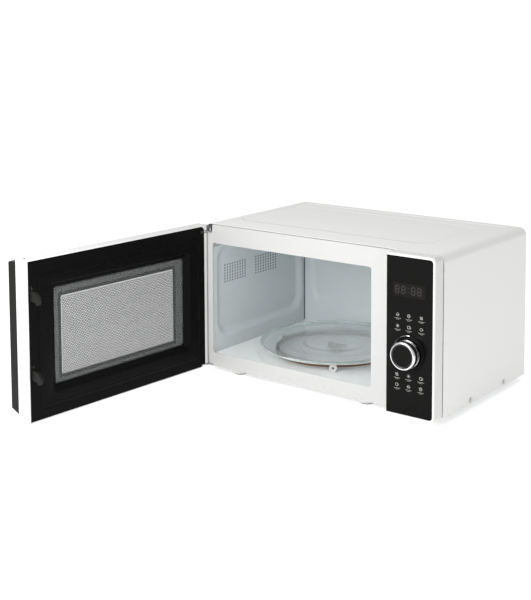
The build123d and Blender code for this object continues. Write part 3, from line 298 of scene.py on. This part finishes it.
FINISHES.update({
    "screen_black": finish("Screen black", (0.002, 0.002, 0.002), (0.005, 0.005, 0.005), gloss=0.5,
                           grain_scale=900, depth=0.1, Specular_IOR_Level=0.04),
    "cover_black": finish("Cover black", (0.0025, 0.0025, 0.0025), (0.005, 0.005, 0.0048), gloss=0.32,
                          grain_scale=1500, depth=0.1, Specular_IOR_Level=0.05),
    "gloss_black": finish("Knob black", (0.008, 0.008, 0.008), (0.015, 0.015, 0.015), gloss=0.10,
                          grain_scale=300, depth=0.02, Specular_IOR_Level=0.5),
    "print_white": finish("Screen print white", (0.50, 0.50, 0.48), (0.36, 0.36, 0.35), gloss=0.5,
                          scale=200, depth=0.05),
    "ghost_digit": finish("Unlit digit", (0.017, 0.0155, 0.0135), (0.014, 0.013, 0.0115), gloss=0.1,
                          depth=0.02),
    "clock_tint": finish("Clock tint", (0.009, 0.0083, 0.0072), (0.011, 0.010, 0.009), gloss=0.08,
                         depth=0.02, Specular_IOR_Level=0.06),
    # Near-black for the dark inside of holes and of the cavity's back corner: painted shade
    "hole_dark": finish("Hole shadow", (0.02, 0.022, 0.024), (0.04, 0.042, 0.044), gloss=0.8, depth=0.1,
                        Specular_IOR_Level=0.1),
    "green_rim": finish("Rim of the glass", (0.55, 0.72, 0.66), (0.45, 0.66, 0.58), gloss=0.05,
                        grain_scale=40, depth=0.03, Transmission_Weight=0.85, IOR=1.5, Alpha=0.75),
    # The cavity floor gets a much lighter copy of the cavity enamel (0.92 against 0.63): painted light, for
    # the light that falls on the floor from above and in front
    "floor_enamel": finish("Oven enamel of the floor", (0.92, 0.93, 0.93), (0.88, 0.89, 0.89),
                           gloss=0.26, grain_scale=600, depth=0.12),
    # The front plate's white is a darker copy of the wrap's powder coat (0.51 against 0.78): painted shade,
    # set to match how the plate is lit
    "face_white": finish("Powder coat of the front plate", (0.51, 0.51, 0.502), (0.47, 0.47, 0.462),
                         gloss=0.34, grain_scale=700, depth=0.10),
    "coupler_pale": finish("Pale coupler moulding", (0.52, 0.52, 0.50), (0.42, 0.42, 0.40), gloss=0.35,
                           grain_scale=1200, depth=0.1),
    "wrap_white": finish("Powder coat on the wrap", (0.78, 0.78, 0.77), (0.73, 0.73, 0.715),
                         gloss=0.32, grain_scale=700, depth=0.10),
})
for row in frame["record"]["subparts"]:
    piece = nodes[row["node"]]
    piece.data.materials.clear()
    piece.data.materials.append(FINISHES[row["material_slot"]])
nodes["drive_coupler"].data.materials[0] = FINISHES["coupler_pale"]
nodes["outer_wrap"].data.materials[0] = FINISHES["wrap_white"]
# The front plate takes the darker copy of the white powder coat: painted shade
nodes["front_plate"].data.materials[0] = FINISHES["face_white"]
print("finishes:", len(FINISHES))

# %% [markdown]
# The flat top of the wrap is stiffened by a shallow field, pressed down by about half a
# millimetre. So small a step needs no geometry: a node group measures how far a point is
# from a rounded rectangle, and a Bump node turns that distance into a soft step.

# %% Pressed field as a node group
field, f_in, f_out = new_group(
    "Pressed field",
    [("Centre", "NodeSocketVector", (0, 0, 0)), ("Straight half", "NodeSocketVector", (0.1, 0.1, 9)),
     ("Corner", "NodeSocketFloat", 0.02), ("Slope", "NodeSocketFloat", 0.002)],
    [("Height", "NodeSocketFloat")],
)
place = add(field, "ShaderNodeTexCoord")
moved = add(field, "ShaderNodeVectorMath", [(0, place.outputs["Object"]), (1, f_in.outputs["Centre"])],
            operation="SUBTRACT")
folded = add(field, "ShaderNodeVectorMath", [(0, moved.outputs[0])], operation="ABSOLUTE")
beyond = add(field, "ShaderNodeVectorMath", [(0, folded.outputs[0]), (1, f_in.outputs["Straight half"])],
             operation="SUBTRACT")
outside = add(field, "ShaderNodeVectorMath", [(0, beyond.outputs[0])], operation="MAXIMUM")
reach = add(field, "ShaderNodeVectorMath", [(0, outside.outputs[0])], operation="LENGTH")
inner = add(field, "ShaderNodeMath", [(0, f_in.outputs["Corner"]), (1, f_in.outputs["Slope"])],
            operation="SUBTRACT")
outer = add(field, "ShaderNodeMath", [(0, f_in.outputs["Corner"]), (1, f_in.outputs["Slope"])],
            operation="ADD")
step = add(field, "ShaderNodeMapRange", [("Value", reach.outputs["Value"]), ("From Min", inner.outputs[0]),
                                         ("From Max", outer.outputs[0])], interpolation_type="SMOOTHSTEP")
field.links.new(step.outputs[0], f_out.inputs["Height"])

# %% Field in the top of the wrap
wrap_tree = FINISHES["wrap_white"].node_tree
field_middle = at(-20, 8, 0)
top_field = add(wrap_tree, "ShaderNodeGroup", node_tree=field)
top_field.inputs["Centre"].default_value = field_middle
top_field.inputs["Straight half"].default_value = (0.155, 0.058, 9)
top_field.inputs["Corner"].default_value = 0.025
top_field.inputs["Slope"].default_value = 0.0022
wrap_shader = wrap_tree.nodes["Principled BSDF"]
grain_normal = wrap_shader.inputs["Normal"].links[0].from_socket
step_bump = add(wrap_tree, "ShaderNodeBump", [("Height", top_field.outputs["Height"]),
                                              ("Normal", grain_normal)], Strength=1.0, Distance=0.0011)
wrap_tree.links.new(step_bump.outputs["Normal"], wrap_shader.inputs["Normal"])

# %% [markdown]
# Solids come out of the frame with knife edges, and a real moulding or folded sheet never
# has one. A narrow Bevel modifier rounds what shows, so every edge catches a line of light.

# %% Soft edges
for name, width in (("door_shell", 0.7), ("control_panel_frame", 0.7), ("handle_bar", 0.9),
                    ("front_plate", 0.25), ("outer_wrap", 0.3), ("feet", 0.8)):
    soft = nodes[name].modifiers.new("soft_edge", "BEVEL")
    soft.width = width * MM
    soft.segments = 3
    soft.limit_method = "ANGLE"
    soft.angle_limit = math.radians(50)
    soft.harden_normals = True

# %% [markdown]
# ## Building meshes
# Nearly every detail of an oven is one of three things: a pressed or moulded frame (loops
# stacked and skinned), a turned ring (a profile spun round an axis) or a sheet with a relief
# (a grid whose depth follows a rule). Three helpers make those, and a fourth turns the
# result into a piece that rides on a body and stands for the solid it refines.

# %% Loops, skins and turned shapes


def rounded_loop(x0, x1, z0, z1, radius, y, steps=6):
    """Points round an upright rectangle with rounded corners."""
    corners = ((x1 - radius, z1 - radius, 0), (x0 + radius, z1 - radius, 90),
               (x0 + radius, z0 + radius, 180), (x1 - radius, z0 + radius, 270))
    loop = []
    for cx, cz, start in corners:
        for i in range(steps + 1):
            a = math.radians(start + 90 * i / steps)
            loop.append((cx + radius * math.cos(a), y, cz + radius * math.sin(a)))
    return loop


def skin(loops):
    """Quads between each loop and the next."""
    size = len(loops[0])
    points = [p for loop in loops for p in loop]
    faces = []
    for k in range(len(loops) - 1):
        for i in range(size):
            j = (i + 1) % size
            faces.append((k * size + i, k * size + j, (k + 1) * size + j, (k + 1) * size + i))
    return points, faces


TURN_STEPS = 120


def turned(profile, centre, upright=True, steps=TURN_STEPS):
    """Profile of (radius, height) spun round a standing axis, or one that points forward."""
    cx, cy, cz = centre
    loops = []
    for radius, height in profile:
        loop = []
        for i in range(steps):
            a = math.tau * i / steps
            u, v = radius * math.cos(a), radius * math.sin(a)
            loop.append((cx + u, cy + v, cz + height) if upright else (cx + u, cy - height, cz + v))
        loops.append(loop)
    return skin(loops)


# %% From points to a piece


def build(name, shape, finishes, rides, stands_for=(), ajar=False, pick=None, sharp=32):
    """Piece of cabinet millimetres that rides on a body, with a finish for each face."""
    points, faces = shape
    mesh = bpy.data.meshes.new(name)
    mesh.from_pydata([at(*p) for p in points], [], faces)
    if ajar:
        mesh.transform(AJAR)
    for key in finishes:
        mesh.materials.append(FINISHES[key])
    for i, face in enumerate(mesh.polygons):
        face.use_smooth = True
        if pick:
            face.material_index = pick(i)
    mesh.update()
    mesh.set_sharp_from_angle(angle=math.radians(sharp))
    piece = bpy.data.objects.new(name, mesh)
    bpy.context.scene.collection.objects.link(piece)
    if stands_for:
        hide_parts(*stands_for)
    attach(piece, rides)
    print(name, len(mesh.polygons), "faces")
    return piece


# %% [markdown]
# ## The door's inner face
# The window of an oven door is a steel sheet punched with holes far too small for microwaves
# and wide enough for light. A texture of dots would go flat from the side, so the holes are
# really cut: each cell of a honeycomb becomes a ring of six quads round a hole, with six more
# for the wall of the hole. A plain border hides where the honeycomb stops.

# %% Screen with its punched holes
DOOR_IN = FACE - 1.5
SCREEN_Y = DOOR_IN - 8.5
HOLE_PITCH = 2.9
HOLE = 2.35


def honeycomb(x0, x1, z0, z1, y, pitch, hole, thick):
    """Cells of a punched sheet, as points and faces."""
    points, faces = [], []
    row_step = pitch * math.sqrt(3) / 2
    angles = [math.radians(30 + 60 * k) for k in range(6)]
    for row in range(int((z1 - z0) / row_step)):
        shift = pitch / 2 if row % 2 else 0
        for col in range(int((x1 - x0 - pitch / 2) / pitch)):
            cx, cz = x0 + pitch / 2 + shift + col * pitch, z0 + row_step * (row + 0.5)
            base = len(points)
            for reach, depth in ((pitch / math.sqrt(3), 0), (hole / 2, 0), (hole / 2, -thick)):
                points += [(cx + reach * math.cos(a), y + depth, cz + reach * math.sin(a)) for a in angles]
            for k in range(6):
                j = (k + 1) % 6
                faces.append((base + k, base + j, base + 6 + j, base + 6 + k))
                faces.append((base + 6 + k, base + 6 + j, base + 12 + j, base + 12 + k))
    return points, faces


MESH_X0, MESH_X1, MESH_Z0, MESH_Z1 = -150, 76, 64, 182
cells = honeycomb(MESH_X0, MESH_X1, MESH_Z0, MESH_Z1, SCREEN_Y - 0.1, HOLE_PITCH, HOLE, 0.5)
build("punched_screen", cells, ["screen_black"], "door", ["screen_plate"], True)
border = skin([
    rounded_loop(-173, 88, 49, 201, 4, SCREEN_Y - 0.6),
    rounded_loop(-173, 88, 49, 201, 4, SCREEN_Y - 0.05),
    rounded_loop(MESH_X0 - 4, MESH_X1 + 4, MESH_Z0 - 4, MESH_Z1 + 4, 3, SCREEN_Y - 0.05),
    rounded_loop(MESH_X0 - 3.6, MESH_X1 + 3.6, MESH_Z0 - 3.6, MESH_Z1 + 3.6, 3, SCREEN_Y + 0.05),
    rounded_loop(MESH_X0 + 1.5, MESH_X1 - 1.5, MESH_Z0 + 1.5, MESH_Z1 - 1.5, 2, SCREEN_Y + 0.05),
    rounded_loop(MESH_X0 + 1.5, MESH_X1 - 1.5, MESH_Z0 + 1.5, MESH_Z1 - 1.5, 2, SCREEN_Y - 0.4),
])
build("screen_border", border, ["screen_black"], "door", (), True)

# %% [markdown]
# Round the window sits the moulded cover of the microwave choke. Its mouth slopes down to
# the screen with a soft lip at the top and two fine steps on the way, which is where a
# moulding catches light. We list the loops from the outer edge to the screen and skin them.

# %% Choke cover
COVER = (-199.0, 120.0, 26.0, 219.5)
MOUTH = (-177.0, 97.0, 47.0, 203.0)


def framed(box, inset, radius, depth):
    """Loop set in from a box, so far behind the door's inner face."""
    x0, x1, z0, z1 = box
    return rounded_loop(x0 + inset, x1 - inset, z0 + inset, z1 - inset, radius, DOOR_IN - depth, 10)


cover_loops = [
    framed(COVER, 0.0, 10.0, 1.4), framed(COVER, 0.0, 10.0, 0.35), framed(COVER, 0.15, 9.9, 0.1),
    framed(COVER, 0.5, 9.6, 0.0), framed(COVER, 5.0, 7.0, 0.0), framed(COVER, 5.3, 6.8, 0.35),
    framed(COVER, 6.3, 6.2, 0.35), framed(COVER, 6.6, 6.0, 0.0),
    framed(MOUTH, -2.2, 9.0, 0.0), framed(MOUTH, -1.4, 8.4, 0.15), framed(MOUTH, -0.6, 7.8, 0.6),
    framed(MOUTH, 0.0, 7.2, 1.3), framed(MOUTH, 2.6, 6.8, 4.2), framed(MOUTH, 3.6, 6.6, 4.3),
    framed(MOUTH, 4.0, 6.4, 5.2), framed(MOUTH, 6.4, 6.0, 7.4), framed(MOUTH, 7.2, 6.0, 7.5),
    framed(MOUTH, 7.6, 6.0, 8.3), framed(MOUTH, 9.4, 5.6, 8.35),
]
build("choke_moulding", skin(cover_loops), ["cover_black"], "door", ["choke_cover"], True)

# %% [markdown]
# From outside, the pane over the window is dark: its border is printed black on the back, and
# only the middle lets light through. The print follows the pane into the finger scoop, so it
# is four strips of grid whose depth comes from the same three points as the scoop.

# %% Print behind the outer pane
DOOR_OUT = FACE - 22.0
SCOOP = ((46.0, DOOR_OUT), (90.0, DOOR_OUT + 7.9), (133.0, DOOR_OUT + 14.0))


def door_front(x):
    """Depth of the door's outer face at x, flat and then curving into the scoop."""
    if x <= SCOOP[0][0]:
        return DOOR_OUT
    depth = 0
    for i, (xi, yi) in enumerate(SCOOP):
        share = yi
        for j, (xj, _) in enumerate(SCOOP):
            if j != i:
                share *= (x - xj) / (xi - xj)
        depth += share
    return depth


def sheet_grid(u0, u1, v0, v1, step, rule):
    """Grid over two directions, with each point placed by a rule."""
    nu, nv = max(1, round((u1 - u0) / step)), max(1, round((v1 - v0) / step))
    row = nv + 1
    points = [rule(u0 + (u1 - u0) * i / nu, v0 + (v1 - v0) * j / nv)
              for i in range(nu + 1) for j in range(row)]
    faces = [(i * row + j, (i + 1) * row + j, (i + 1) * row + j + 1, i * row + j + 1)
             for i in range(nu) for j in range(nv)]
    return points, faces


def together(shapes):
    """Several sets of points and faces as one."""
    points, faces = [], []
    for more_points, more_faces in shapes:
        base = len(points)
        points += more_points
        faces += [tuple(base + k for k in face) for face in more_faces]
    return points, faces


BEND = SCOOP[0][0]
strips = [sheet_grid(x0, x1, z0, z1, 2, lambda x, z: (x, door_front(x) + 2.43, z))
          for x0, x1, z0, z1 in ((-211.6, BEND, 206, 235.6), (BEND, 83.6, 206, 235.6),
                                 (-211.6, BEND, 17.4, 44), (BEND, 83.6, 17.4, 44),
                                 (-211.6, -170, 44, 206), (79, 83.6, 44, 206))]
build("pane_print", together(strips), ["screen_black"], "door", (), True)

# %% [markdown]
# ## The knob
# A turned knob is the clearest case for spinning a profile: a flared foot fixed to the pane,
# a black body with two grooves and a knurled line, and a bright ring round a dished face.

# %% Knob, ring and foot
ring_low, ring_high = from_middle("knob_ring")
pane_low, _ = from_middle("control_glass")
KNOB = ((ring_low.x + ring_high.x) / 2, pane_low.y, (ring_low.z + ring_high.z) / 2)
foot_profile = [(25.6, 0), (25.8, 0.5), (25.5, 1.0), (25.0, 1.25), (24.4, 1.3), (23.4, 2.0),
                (22.2, 2.7), (21.6, 2.9), (21.2, 2.6), (21.0, 0)]
# Only an arc of the foot's lip, from the top round to the left, is chrome: a painted highlight; the rest of
# that ring of faces is cover black
build("knob_foot", turned(foot_profile, KNOB, False), ["cover_black", "chrome"], "cabinet",
      ["knob_bezel"], pick=lambda i: int(i // TURN_STEPS == 2 and 28 < i % TURN_STEPS < 70))
body_profile = [(3, 0.4), (19.8, 0.4), (20.0, 0.8), (20.0, 5.6), (19.1, 5.9), (19.1, 6.9), (20.0, 7.2),
                (20.0, 9.6), (19.3, 9.9), (19.3, 10.8), (20.0, 11.1), (20.0, 14.0), (15.8, 14.2),
                (15.7, 18.2), (15.2, 18.35), (13, 18.0), (8, 17.8), (0.01, 17.7)]
build("knob_turned", turned(body_profile, KNOB, False), ["gloss_black", "dark_glass", "chrome"],
      "knob", ["knob_body"],
      pick=lambda i: 1 if i // TURN_STEPS > 13 else 2 if i // TURN_STEPS in (3, 9) else 0)
ring_profile = [(19.9, 14.0), (20.3, 14.4), (20.4, 16.0), (20.2, 17.8), (19.5, 18.9), (18.6, 19.4),
                (17.8, 19.45), (16.6, 19.2), (15.9, 18.7), (15.75, 17.6)]
build("knob_bright_ring", turned(ring_profile, KNOB, False), ["chrome", "gloss_black"], "knob",
      ["knob_ring"], pick=lambda i: int(i // TURN_STEPS > 5))


def knurl(radius, height, tall, count):
    """Row of small raised studs round the knob."""
    points, faces = [], []
    for i in range(count):
        base = len(points)
        for reach, grow in ((radius - 0.1, 1.0), (radius + 0.3, 0.6)):
            for du, dh in ((-1, -1), (1, -1), (1, 1), (-1, 1)):
                a = math.tau * (i + 0.28 * du * grow) / count
                points.append((KNOB[0] + reach * math.cos(a), KNOB[1] - height - dh * grow * tall / 2,
                               KNOB[2] + reach * math.sin(a)))
        faces += [(base + k, base + (k + 1) % 4, base + 4 + (k + 1) % 4, base + 4 + k) for k in range(4)]
        faces.append((base + 4, base + 5, base + 6, base + 7))
    return points, faces


build("knob_knurl", knurl(20.0, 8.4, 1.1, 84), ["chrome"], "knob")

# %% [markdown]
# ## Print on the pane
# Under each touch area is a small picture and a short dashed line, screen printed in white.
# The pictures here are our own plain signs, drawn from bars and arcs: a cup, a bowl, waves, a
# clock. No lettering is copied, and the clock shows only the faint shape of unlit digits.

# %% Bars and arcs
PRINT_T = 0.06
PANE_Y = pane_low.y - PRINT_T


def bar(cx, cz, width, height, turn=0.0):
    """Flat bar on the pane, as four points."""
    c, s = math.cos(math.radians(turn)), math.sin(math.radians(turn))
    half_w, half_h = width / 2, height / 2
    return [(cx + u * half_w * c - v * half_h * s, PANE_Y, cz + u * half_w * s + v * half_h * c)
            for u, v in ((-1, -1), (1, -1), (1, 1), (-1, 1))]


def arc(cx, cz, radius, start, end, line=0.5):
    """Flat arc on the pane, as a list of short quads."""
    steps = max(4, int(abs(end - start) / 24))
    spots = [math.radians(start + (end - start) * i / steps) for i in range(steps + 1)]
    return [[(cx + r * math.cos(a), PANE_Y, cz + r * math.sin(a))
             for a, r in ((p, radius), (q, radius), (q, radius - line), (p, radius - line))]
            for p, q in zip(spots, spots[1:])]


def sign(kind, x, z):
    """One of six small pictures."""
    if kind == 0:
        return arc(x, z, 2.4, 180, 360) + [bar(x, z, 5.6, 0.5), bar(x - 1, z + 1.6, 0.5, 1.6, 15),
                                           bar(x + 1, z + 1.6, 0.5, 1.6, 15)]
    if kind == 1:
        return arc(x, z, 2.5, 0, 360) + [bar(x, z + 0.8, 0.5, 1.8), bar(x + 0.7, z, 1.5, 0.5)]
    if kind == 2:
        return [q for k in (-1.6, 0, 1.6)
                for q in arc(x + k, z + 1.1, 1.2, 90, 270) + arc(x + k - 0.7, z - 1.1, 1.2, -90, 90)]
    if kind == 3:
        return [bar(x, z, 5.4, 0.45, turn) for turn in (0, 60, 120)] + arc(x, z, 1.2, 0, 360, 0.4)
    if kind == 4:
        return [bar(x, z - 1.9, 4.2, 0.5), bar(x - 2, z, 0.5, 4), bar(x + 2, z, 0.5, 4),
                bar(x, z + 1.9, 4.2, 0.5)] + arc(x + 2.3, z, 1.4, -90, 90)
    return arc(x - 0.6, z, 2.2, 20, 340) + [bar(x + 1.8, z + 0.7, 2.6, 0.5, -38),
                                            bar(x + 1.8, z - 0.7, 2.6, 0.5, 38)]


# %% Twelve signs with their dashes
marks = []
for rows, columns in (((155.6, 139.3), (159.5, 177.7, 198.5)), ((68.8, 53.8), (159.0, 178.0, 197.8))):
    for r, z in enumerate(rows):
        for c, x in enumerate(columns):
            marks += sign((3 * r + c + (0 if z > 100 else 2)) % 6, x, z + 1.6)
            marks += [bar(x + k * 1.75, z - 3.6, 1.2, 0.5) for k in (-2.5, -1.5, -0.5, 0.5, 1.5, 2.5)]
            marks += [bar(x + k * 1.9, z - 5.2, 1.2, 0.45) for k in (-1, 0, 1)]


def polygons(shapes):
    """Polygons with the same number of corners, as one set of points and faces."""
    corners = len(shapes[0])
    faces = [tuple(range(corners * i, corners * (i + 1))) for i in range(len(shapes))]
    return [p for shape in shapes for p in shape], faces


build("pane_signs", polygons(marks), ["print_white"], "cabinet")

# %% Unlit clock behind the pane
digits = []
for x in (158.5, 168.5, 184.5, 194.5):
    for dx, dz, w, h in ((0, 5.0, 4.4, 1.1), (0, 0, 4.4, 1.1), (0, -5.0, 4.4, 1.1), (-2.9, 2.5, 1.1, 4.0),
                         (2.9, 2.5, 1.1, 4.0), (-2.9, -2.5, 1.1, 4.0), (2.9, -2.5, 1.1, 4.0)):
        digits.append(bar(x + dx, 193.8 + dz, w, h))
digits += [bar(176.5, 196.3, 1.3, 1.3), bar(176.5, 191.3, 1.3, 1.3)]
build("clock_digits", polygons(digits), ["ghost_digit"], "cabinet")
window_quad = ([(x, PANE_Y + 0.04, z) for x, z in ((151.5, 184), (204, 184), (204, 203.5), (151.5, 203.5))],
               [(0, 1, 2, 3)])
build("clock_window", window_quad, ["clock_tint"], "cabinet")

# %% [markdown]
# ## The cooking cavity
# The cavity is folded from enamelled sheet, and its walls are stiffened by broad pressed
# panels with soft sloping borders. Booleans would leave those borders hard, so each wall is
# a fine grid, and one smooth rule says how far every point of it is pushed outwards.

# %% Walls with pressed panels
SHEET = 0.8
SIDE_PRESS = 7.0
BACK_PRESS = 4.0
WELL = 1.2
shell_low, shell_high = from_middle("cavity_shell")
plate_low, plate_high = from_middle("glass_plate")
CAV_X0, CAV_X1 = shell_low.x + SIDE_PRESS + SHEET, shell_high.x - SHEET
CAV_Y0, CAV_Y1 = shell_low.y, shell_high.y - BACK_PRESS - SHEET
CAV_Z0, CAV_Z1 = shell_low.z + WELL + SHEET, shell_high.z - SHEET
TABLE_X, TABLE_Y = (plate_low.x + plate_high.x) / 2, (plate_low.y + plate_high.y) / 2
print("cavity", [round(v, 2) for v in (CAV_X0, CAV_X1, CAV_Y0, CAV_Y1, CAV_Z0, CAV_Z1)])


def pressed(u, v, low_u, high_u, low_v, high_v, radius, slope):
    """1 inside a rounded field, 0 outside, with a smooth border between."""
    qu = abs(u - (low_u + high_u) / 2) - (high_u - low_u) / 2 + radius
    qv = abs(v - (low_v + high_v) / 2) - (high_v - low_v) / 2 + radius
    away = min(max(qu, qv), 0) + math.hypot(max(qu, 0), max(qv, 0)) - radius
    t = min(max(0.5 - away / slope, 0), 1)
    return t * t * (3 - 2 * t)


def left_wall(y, z):
    """Left wall, pressed outwards."""
    return (CAV_X0 - 6.6 * pressed(y, z, -113, 109, 58, 202, 24, 13), y, z)


def back_wall(x, z):
    """Back wall, pressed outwards."""
    return (x, CAV_Y1 + 3.8 * pressed(x, z, -187, 85, 73, 197, 24, 12), z)


def floor_sheet(x, y):
    """Floor with the round well of the turntable."""
    r = math.hypot(x - TABLE_X, y - TABLE_Y)
    t = min(max((126.0 - r) / 3.0, 0), 1)
    return (x, y, CAV_Z0 - 1.15 * t * t * (3 - 2 * t))


walls = [
    sheet_grid(CAV_Y0, CAV_Y1, CAV_Z0, CAV_Z1, 2.5, left_wall),
    sheet_grid(CAV_X0, CAV_X1, CAV_Z0, CAV_Z1, 2.5, back_wall),
    sheet_grid(CAV_X0, CAV_X1, CAV_Y0, CAV_Y1, 2.0, floor_sheet),
    sheet_grid(CAV_X0, CAV_X1, CAV_Y0, CAV_Y1, 20, lambda x, y: (x, y, CAV_Z1)),
    sheet_grid(CAV_Y0, CAV_Y1, CAV_Z0, CAV_Z1, 20, lambda y, z: (CAV_X1, y, z)),
]
floor_first = len(walls[0][1]) + len(walls[1][1])
floor_last = floor_first + len(walls[2][1])
# The floor faces take the lighter copy of the enamel: painted light
build("cavity_liner", together(walls), ["cavity_enamel", "floor_enamel"], "cabinet",
      ["cavity_shell"], pick=lambda i: int(floor_first <= i < floor_last), sharp=40)

# %% [markdown]
# Air leaves and light enters through fields of small holes in the pressed panel. At this
# size a dark disc set a hair off the wall reads as a hole, so no wall has to be cut.

# %% Vent fields
# Each vent is a dark disc: painted shade standing for the dark inside of a hole
OFF_WALL = 0.12
VENT_COLUMNS, VENT_ROWS = 9, 7
VENT_SIDES = 10
holes = []


def vent(x, y, z, radius):
    """Disc on the left wall."""
    turns = [math.tau * k / VENT_SIDES for k in range(VENT_SIDES)]
    return [(x, y + radius * math.cos(a), z + radius * math.sin(a)) for a in turns]


VENT_Z, VENT_TALL = 141, 28
for low, high in ((-91, -38), (-9, 46)):
    for i in range(VENT_COLUMNS):
        for j in range(VENT_ROWS):
            y = low + (high - low) * i / (VENT_COLUMNS - 1)
            z = VENT_Z + VENT_TALL * j / (VENT_ROWS - 1)
            holes.append(vent(left_wall(y, z)[0] + OFF_WALL, y, z, 1.4))
for i in range(5):
    for j in range(2):
        holes.append(vent(CAV_X0 + OFF_WALL, -125 + 3.6 * i, 207 + 3.4 * j, 1.0))
build("cavity_vents", polygons(holes), ["hole_dark"], "cabinet")
# A thin dark strip down the back-left corner of the cavity: painted shade where the left and back walls
# meet
corner_shade = sheet_grid(CAV_Z0 + 3, CAV_Z1 - 3, 0, 1.4, 1.4, lambda z, w: (CAV_X0 + 0.25 + w, CAV_Y1 - 0.3, z))
build("cavity_seam", corner_shade, ["hole_dark"], "cabinet")

# %% [markdown]
# ## The glass turntable
# Pressed glass shows itself by its edges: the rim gathers green, and each moulded step draws
# a bright circle. The profile has all of those steps, and the rim has its own greener glass.

# %% Plate
PLATE_STEPS = 160
PLATE = (TABLE_X, TABLE_Y, plate_low.z)
plate_profile = [
    (0.01, 3.6), (20, 3.6), (44, 3.6), (45.5, 4.2), (47, 4.4), (48.5, 4.2), (50, 3.6), (53, 3.6), (54, 3.3),
    (55, 3.6), (81, 3.6), (83, 3.2), (85, 3.6), (88, 3.8), (90.5, 4.6), (93, 4.5), (112, 4.6), (116, 5.2),
    (119, 6.8), (120.4, 7.3), (121.8, 7.5), (122.4, 6.8), (122.5, 5.6), (121.6, 4.3), (119.5, 2.6),
    (117, 1.4), (112, 0.7), (94, 0.7), (90, 0.05), (0.01, 0.05),
]
build("turntable_glass", turned(plate_profile, PLATE, True, PLATE_STEPS), ["clear_glass", "green_rim"],
      "turntable", ["glass_plate"],
      pick=lambda i: int(17 <= i // PLATE_STEPS <= 24), sharp=60)

# %% [markdown]
# ## Stage, light and camera
# A plain pale floor, two large soft lights and a small one that shines into the open cavity,
# as in a product studio. The camera stands to
# the right of the oven and a little above it.

# %% Floor
floor_mesh = bpy.data.meshes.new("studio_floor")
floor_mesh.from_pydata([(-9, -9, 0), (9, -9, 0), (9, 9, 0), (-9, 9, 0)], [], [(0, 1, 2, 3)])
floor = bpy.data.objects.new("studio_floor", floor_mesh)
bpy.context.scene.collection.objects.link(floor)
floor_mesh.materials.append(
    finish("Studio floor", (0.94, 0.94, 0.94), (0.93, 0.93, 0.93), gloss=0.9, depth=0.0,
           Emission_Color=(1, 1, 1, 1), Emission_Strength=0.46)
)

# %% Lights
TARGET = at(0, -60, 120)


def soft_light(name, place, size, power, aim=TARGET):
    """Square area light that looks at a point."""
    lamp = bpy.data.lights.new(name, "AREA")
    lamp.shape = "SQUARE"
    lamp.size = size
    lamp.energy = power
    holder = bpy.data.objects.new(name, lamp)
    holder.location = place
    holder.rotation_euler = (aim - holder.location).to_track_quat("-Z", "Y").to_euler()
    bpy.context.scene.collection.objects.link(holder)
    return holder


soft_light("front_light", at(-150, -1900, 850), 1.5, 14)
soft_light("top_light", at(-100, -200, 1700), 1.8, 8.5)
soft_light("cavity_light", at(-30, -620, 420), 0.35, 1.7, at(-50, 40, 40))

# %% [markdown]
# Pictures of white goods are taken against white, but a fully white room would wash every
# black part grey with reflections. The Light Path node lets the camera see a white backdrop
# while the oven is lit by a dimmer one.

# %% Backdrop
world = bpy.data.worlds.new("studio")
world.use_nodes = True
sky = world.node_tree
ray = sky.nodes.new("ShaderNodeLightPath")
level = add(sky, "ShaderNodeMapRange", [(0, ray.outputs["Is Camera Ray"])])
level.inputs["To Min"].default_value = 0.58
level.inputs["To Max"].default_value = 1.05
sky.nodes["Background"].inputs["Color"].default_value = (1, 1, 1, 1)
sky.links.new(level.outputs[0], sky.nodes["Background"].inputs["Strength"])
bpy.context.scene.world = world

# %% [markdown]
# White goods need a plain film curve. The default curve is made for high contrast and turns
# every white to grey, so the view transform is the standard one.

# %% Film curve
bpy.context.scene.view_settings.view_transform = "Standard"

# %% Camera
camera = bpy.data.cameras.new("camera")
camera.lens = 71.27
camera.sensor_width = 36
camera.shift_x = -0.0418
camera.shift_y = -0.3001
camera.clip_end = 50
viewer = bpy.data.objects.new("camera", camera)
viewer.location = at(1024.9, -1568.1, 591.5)
heading = Matrix.Rotation(math.radians(36.705), 4, "Z")
tilt = Matrix.Rotation(math.radians(90 - 5.434), 4, "X")
level = Matrix.Rotation(math.radians(-0.139), 4, "Z")
viewer.rotation_euler = (heading @ tilt @ level).to_euler()
bpy.context.scene.collection.objects.link(viewer)
bpy.context.scene.camera = viewer
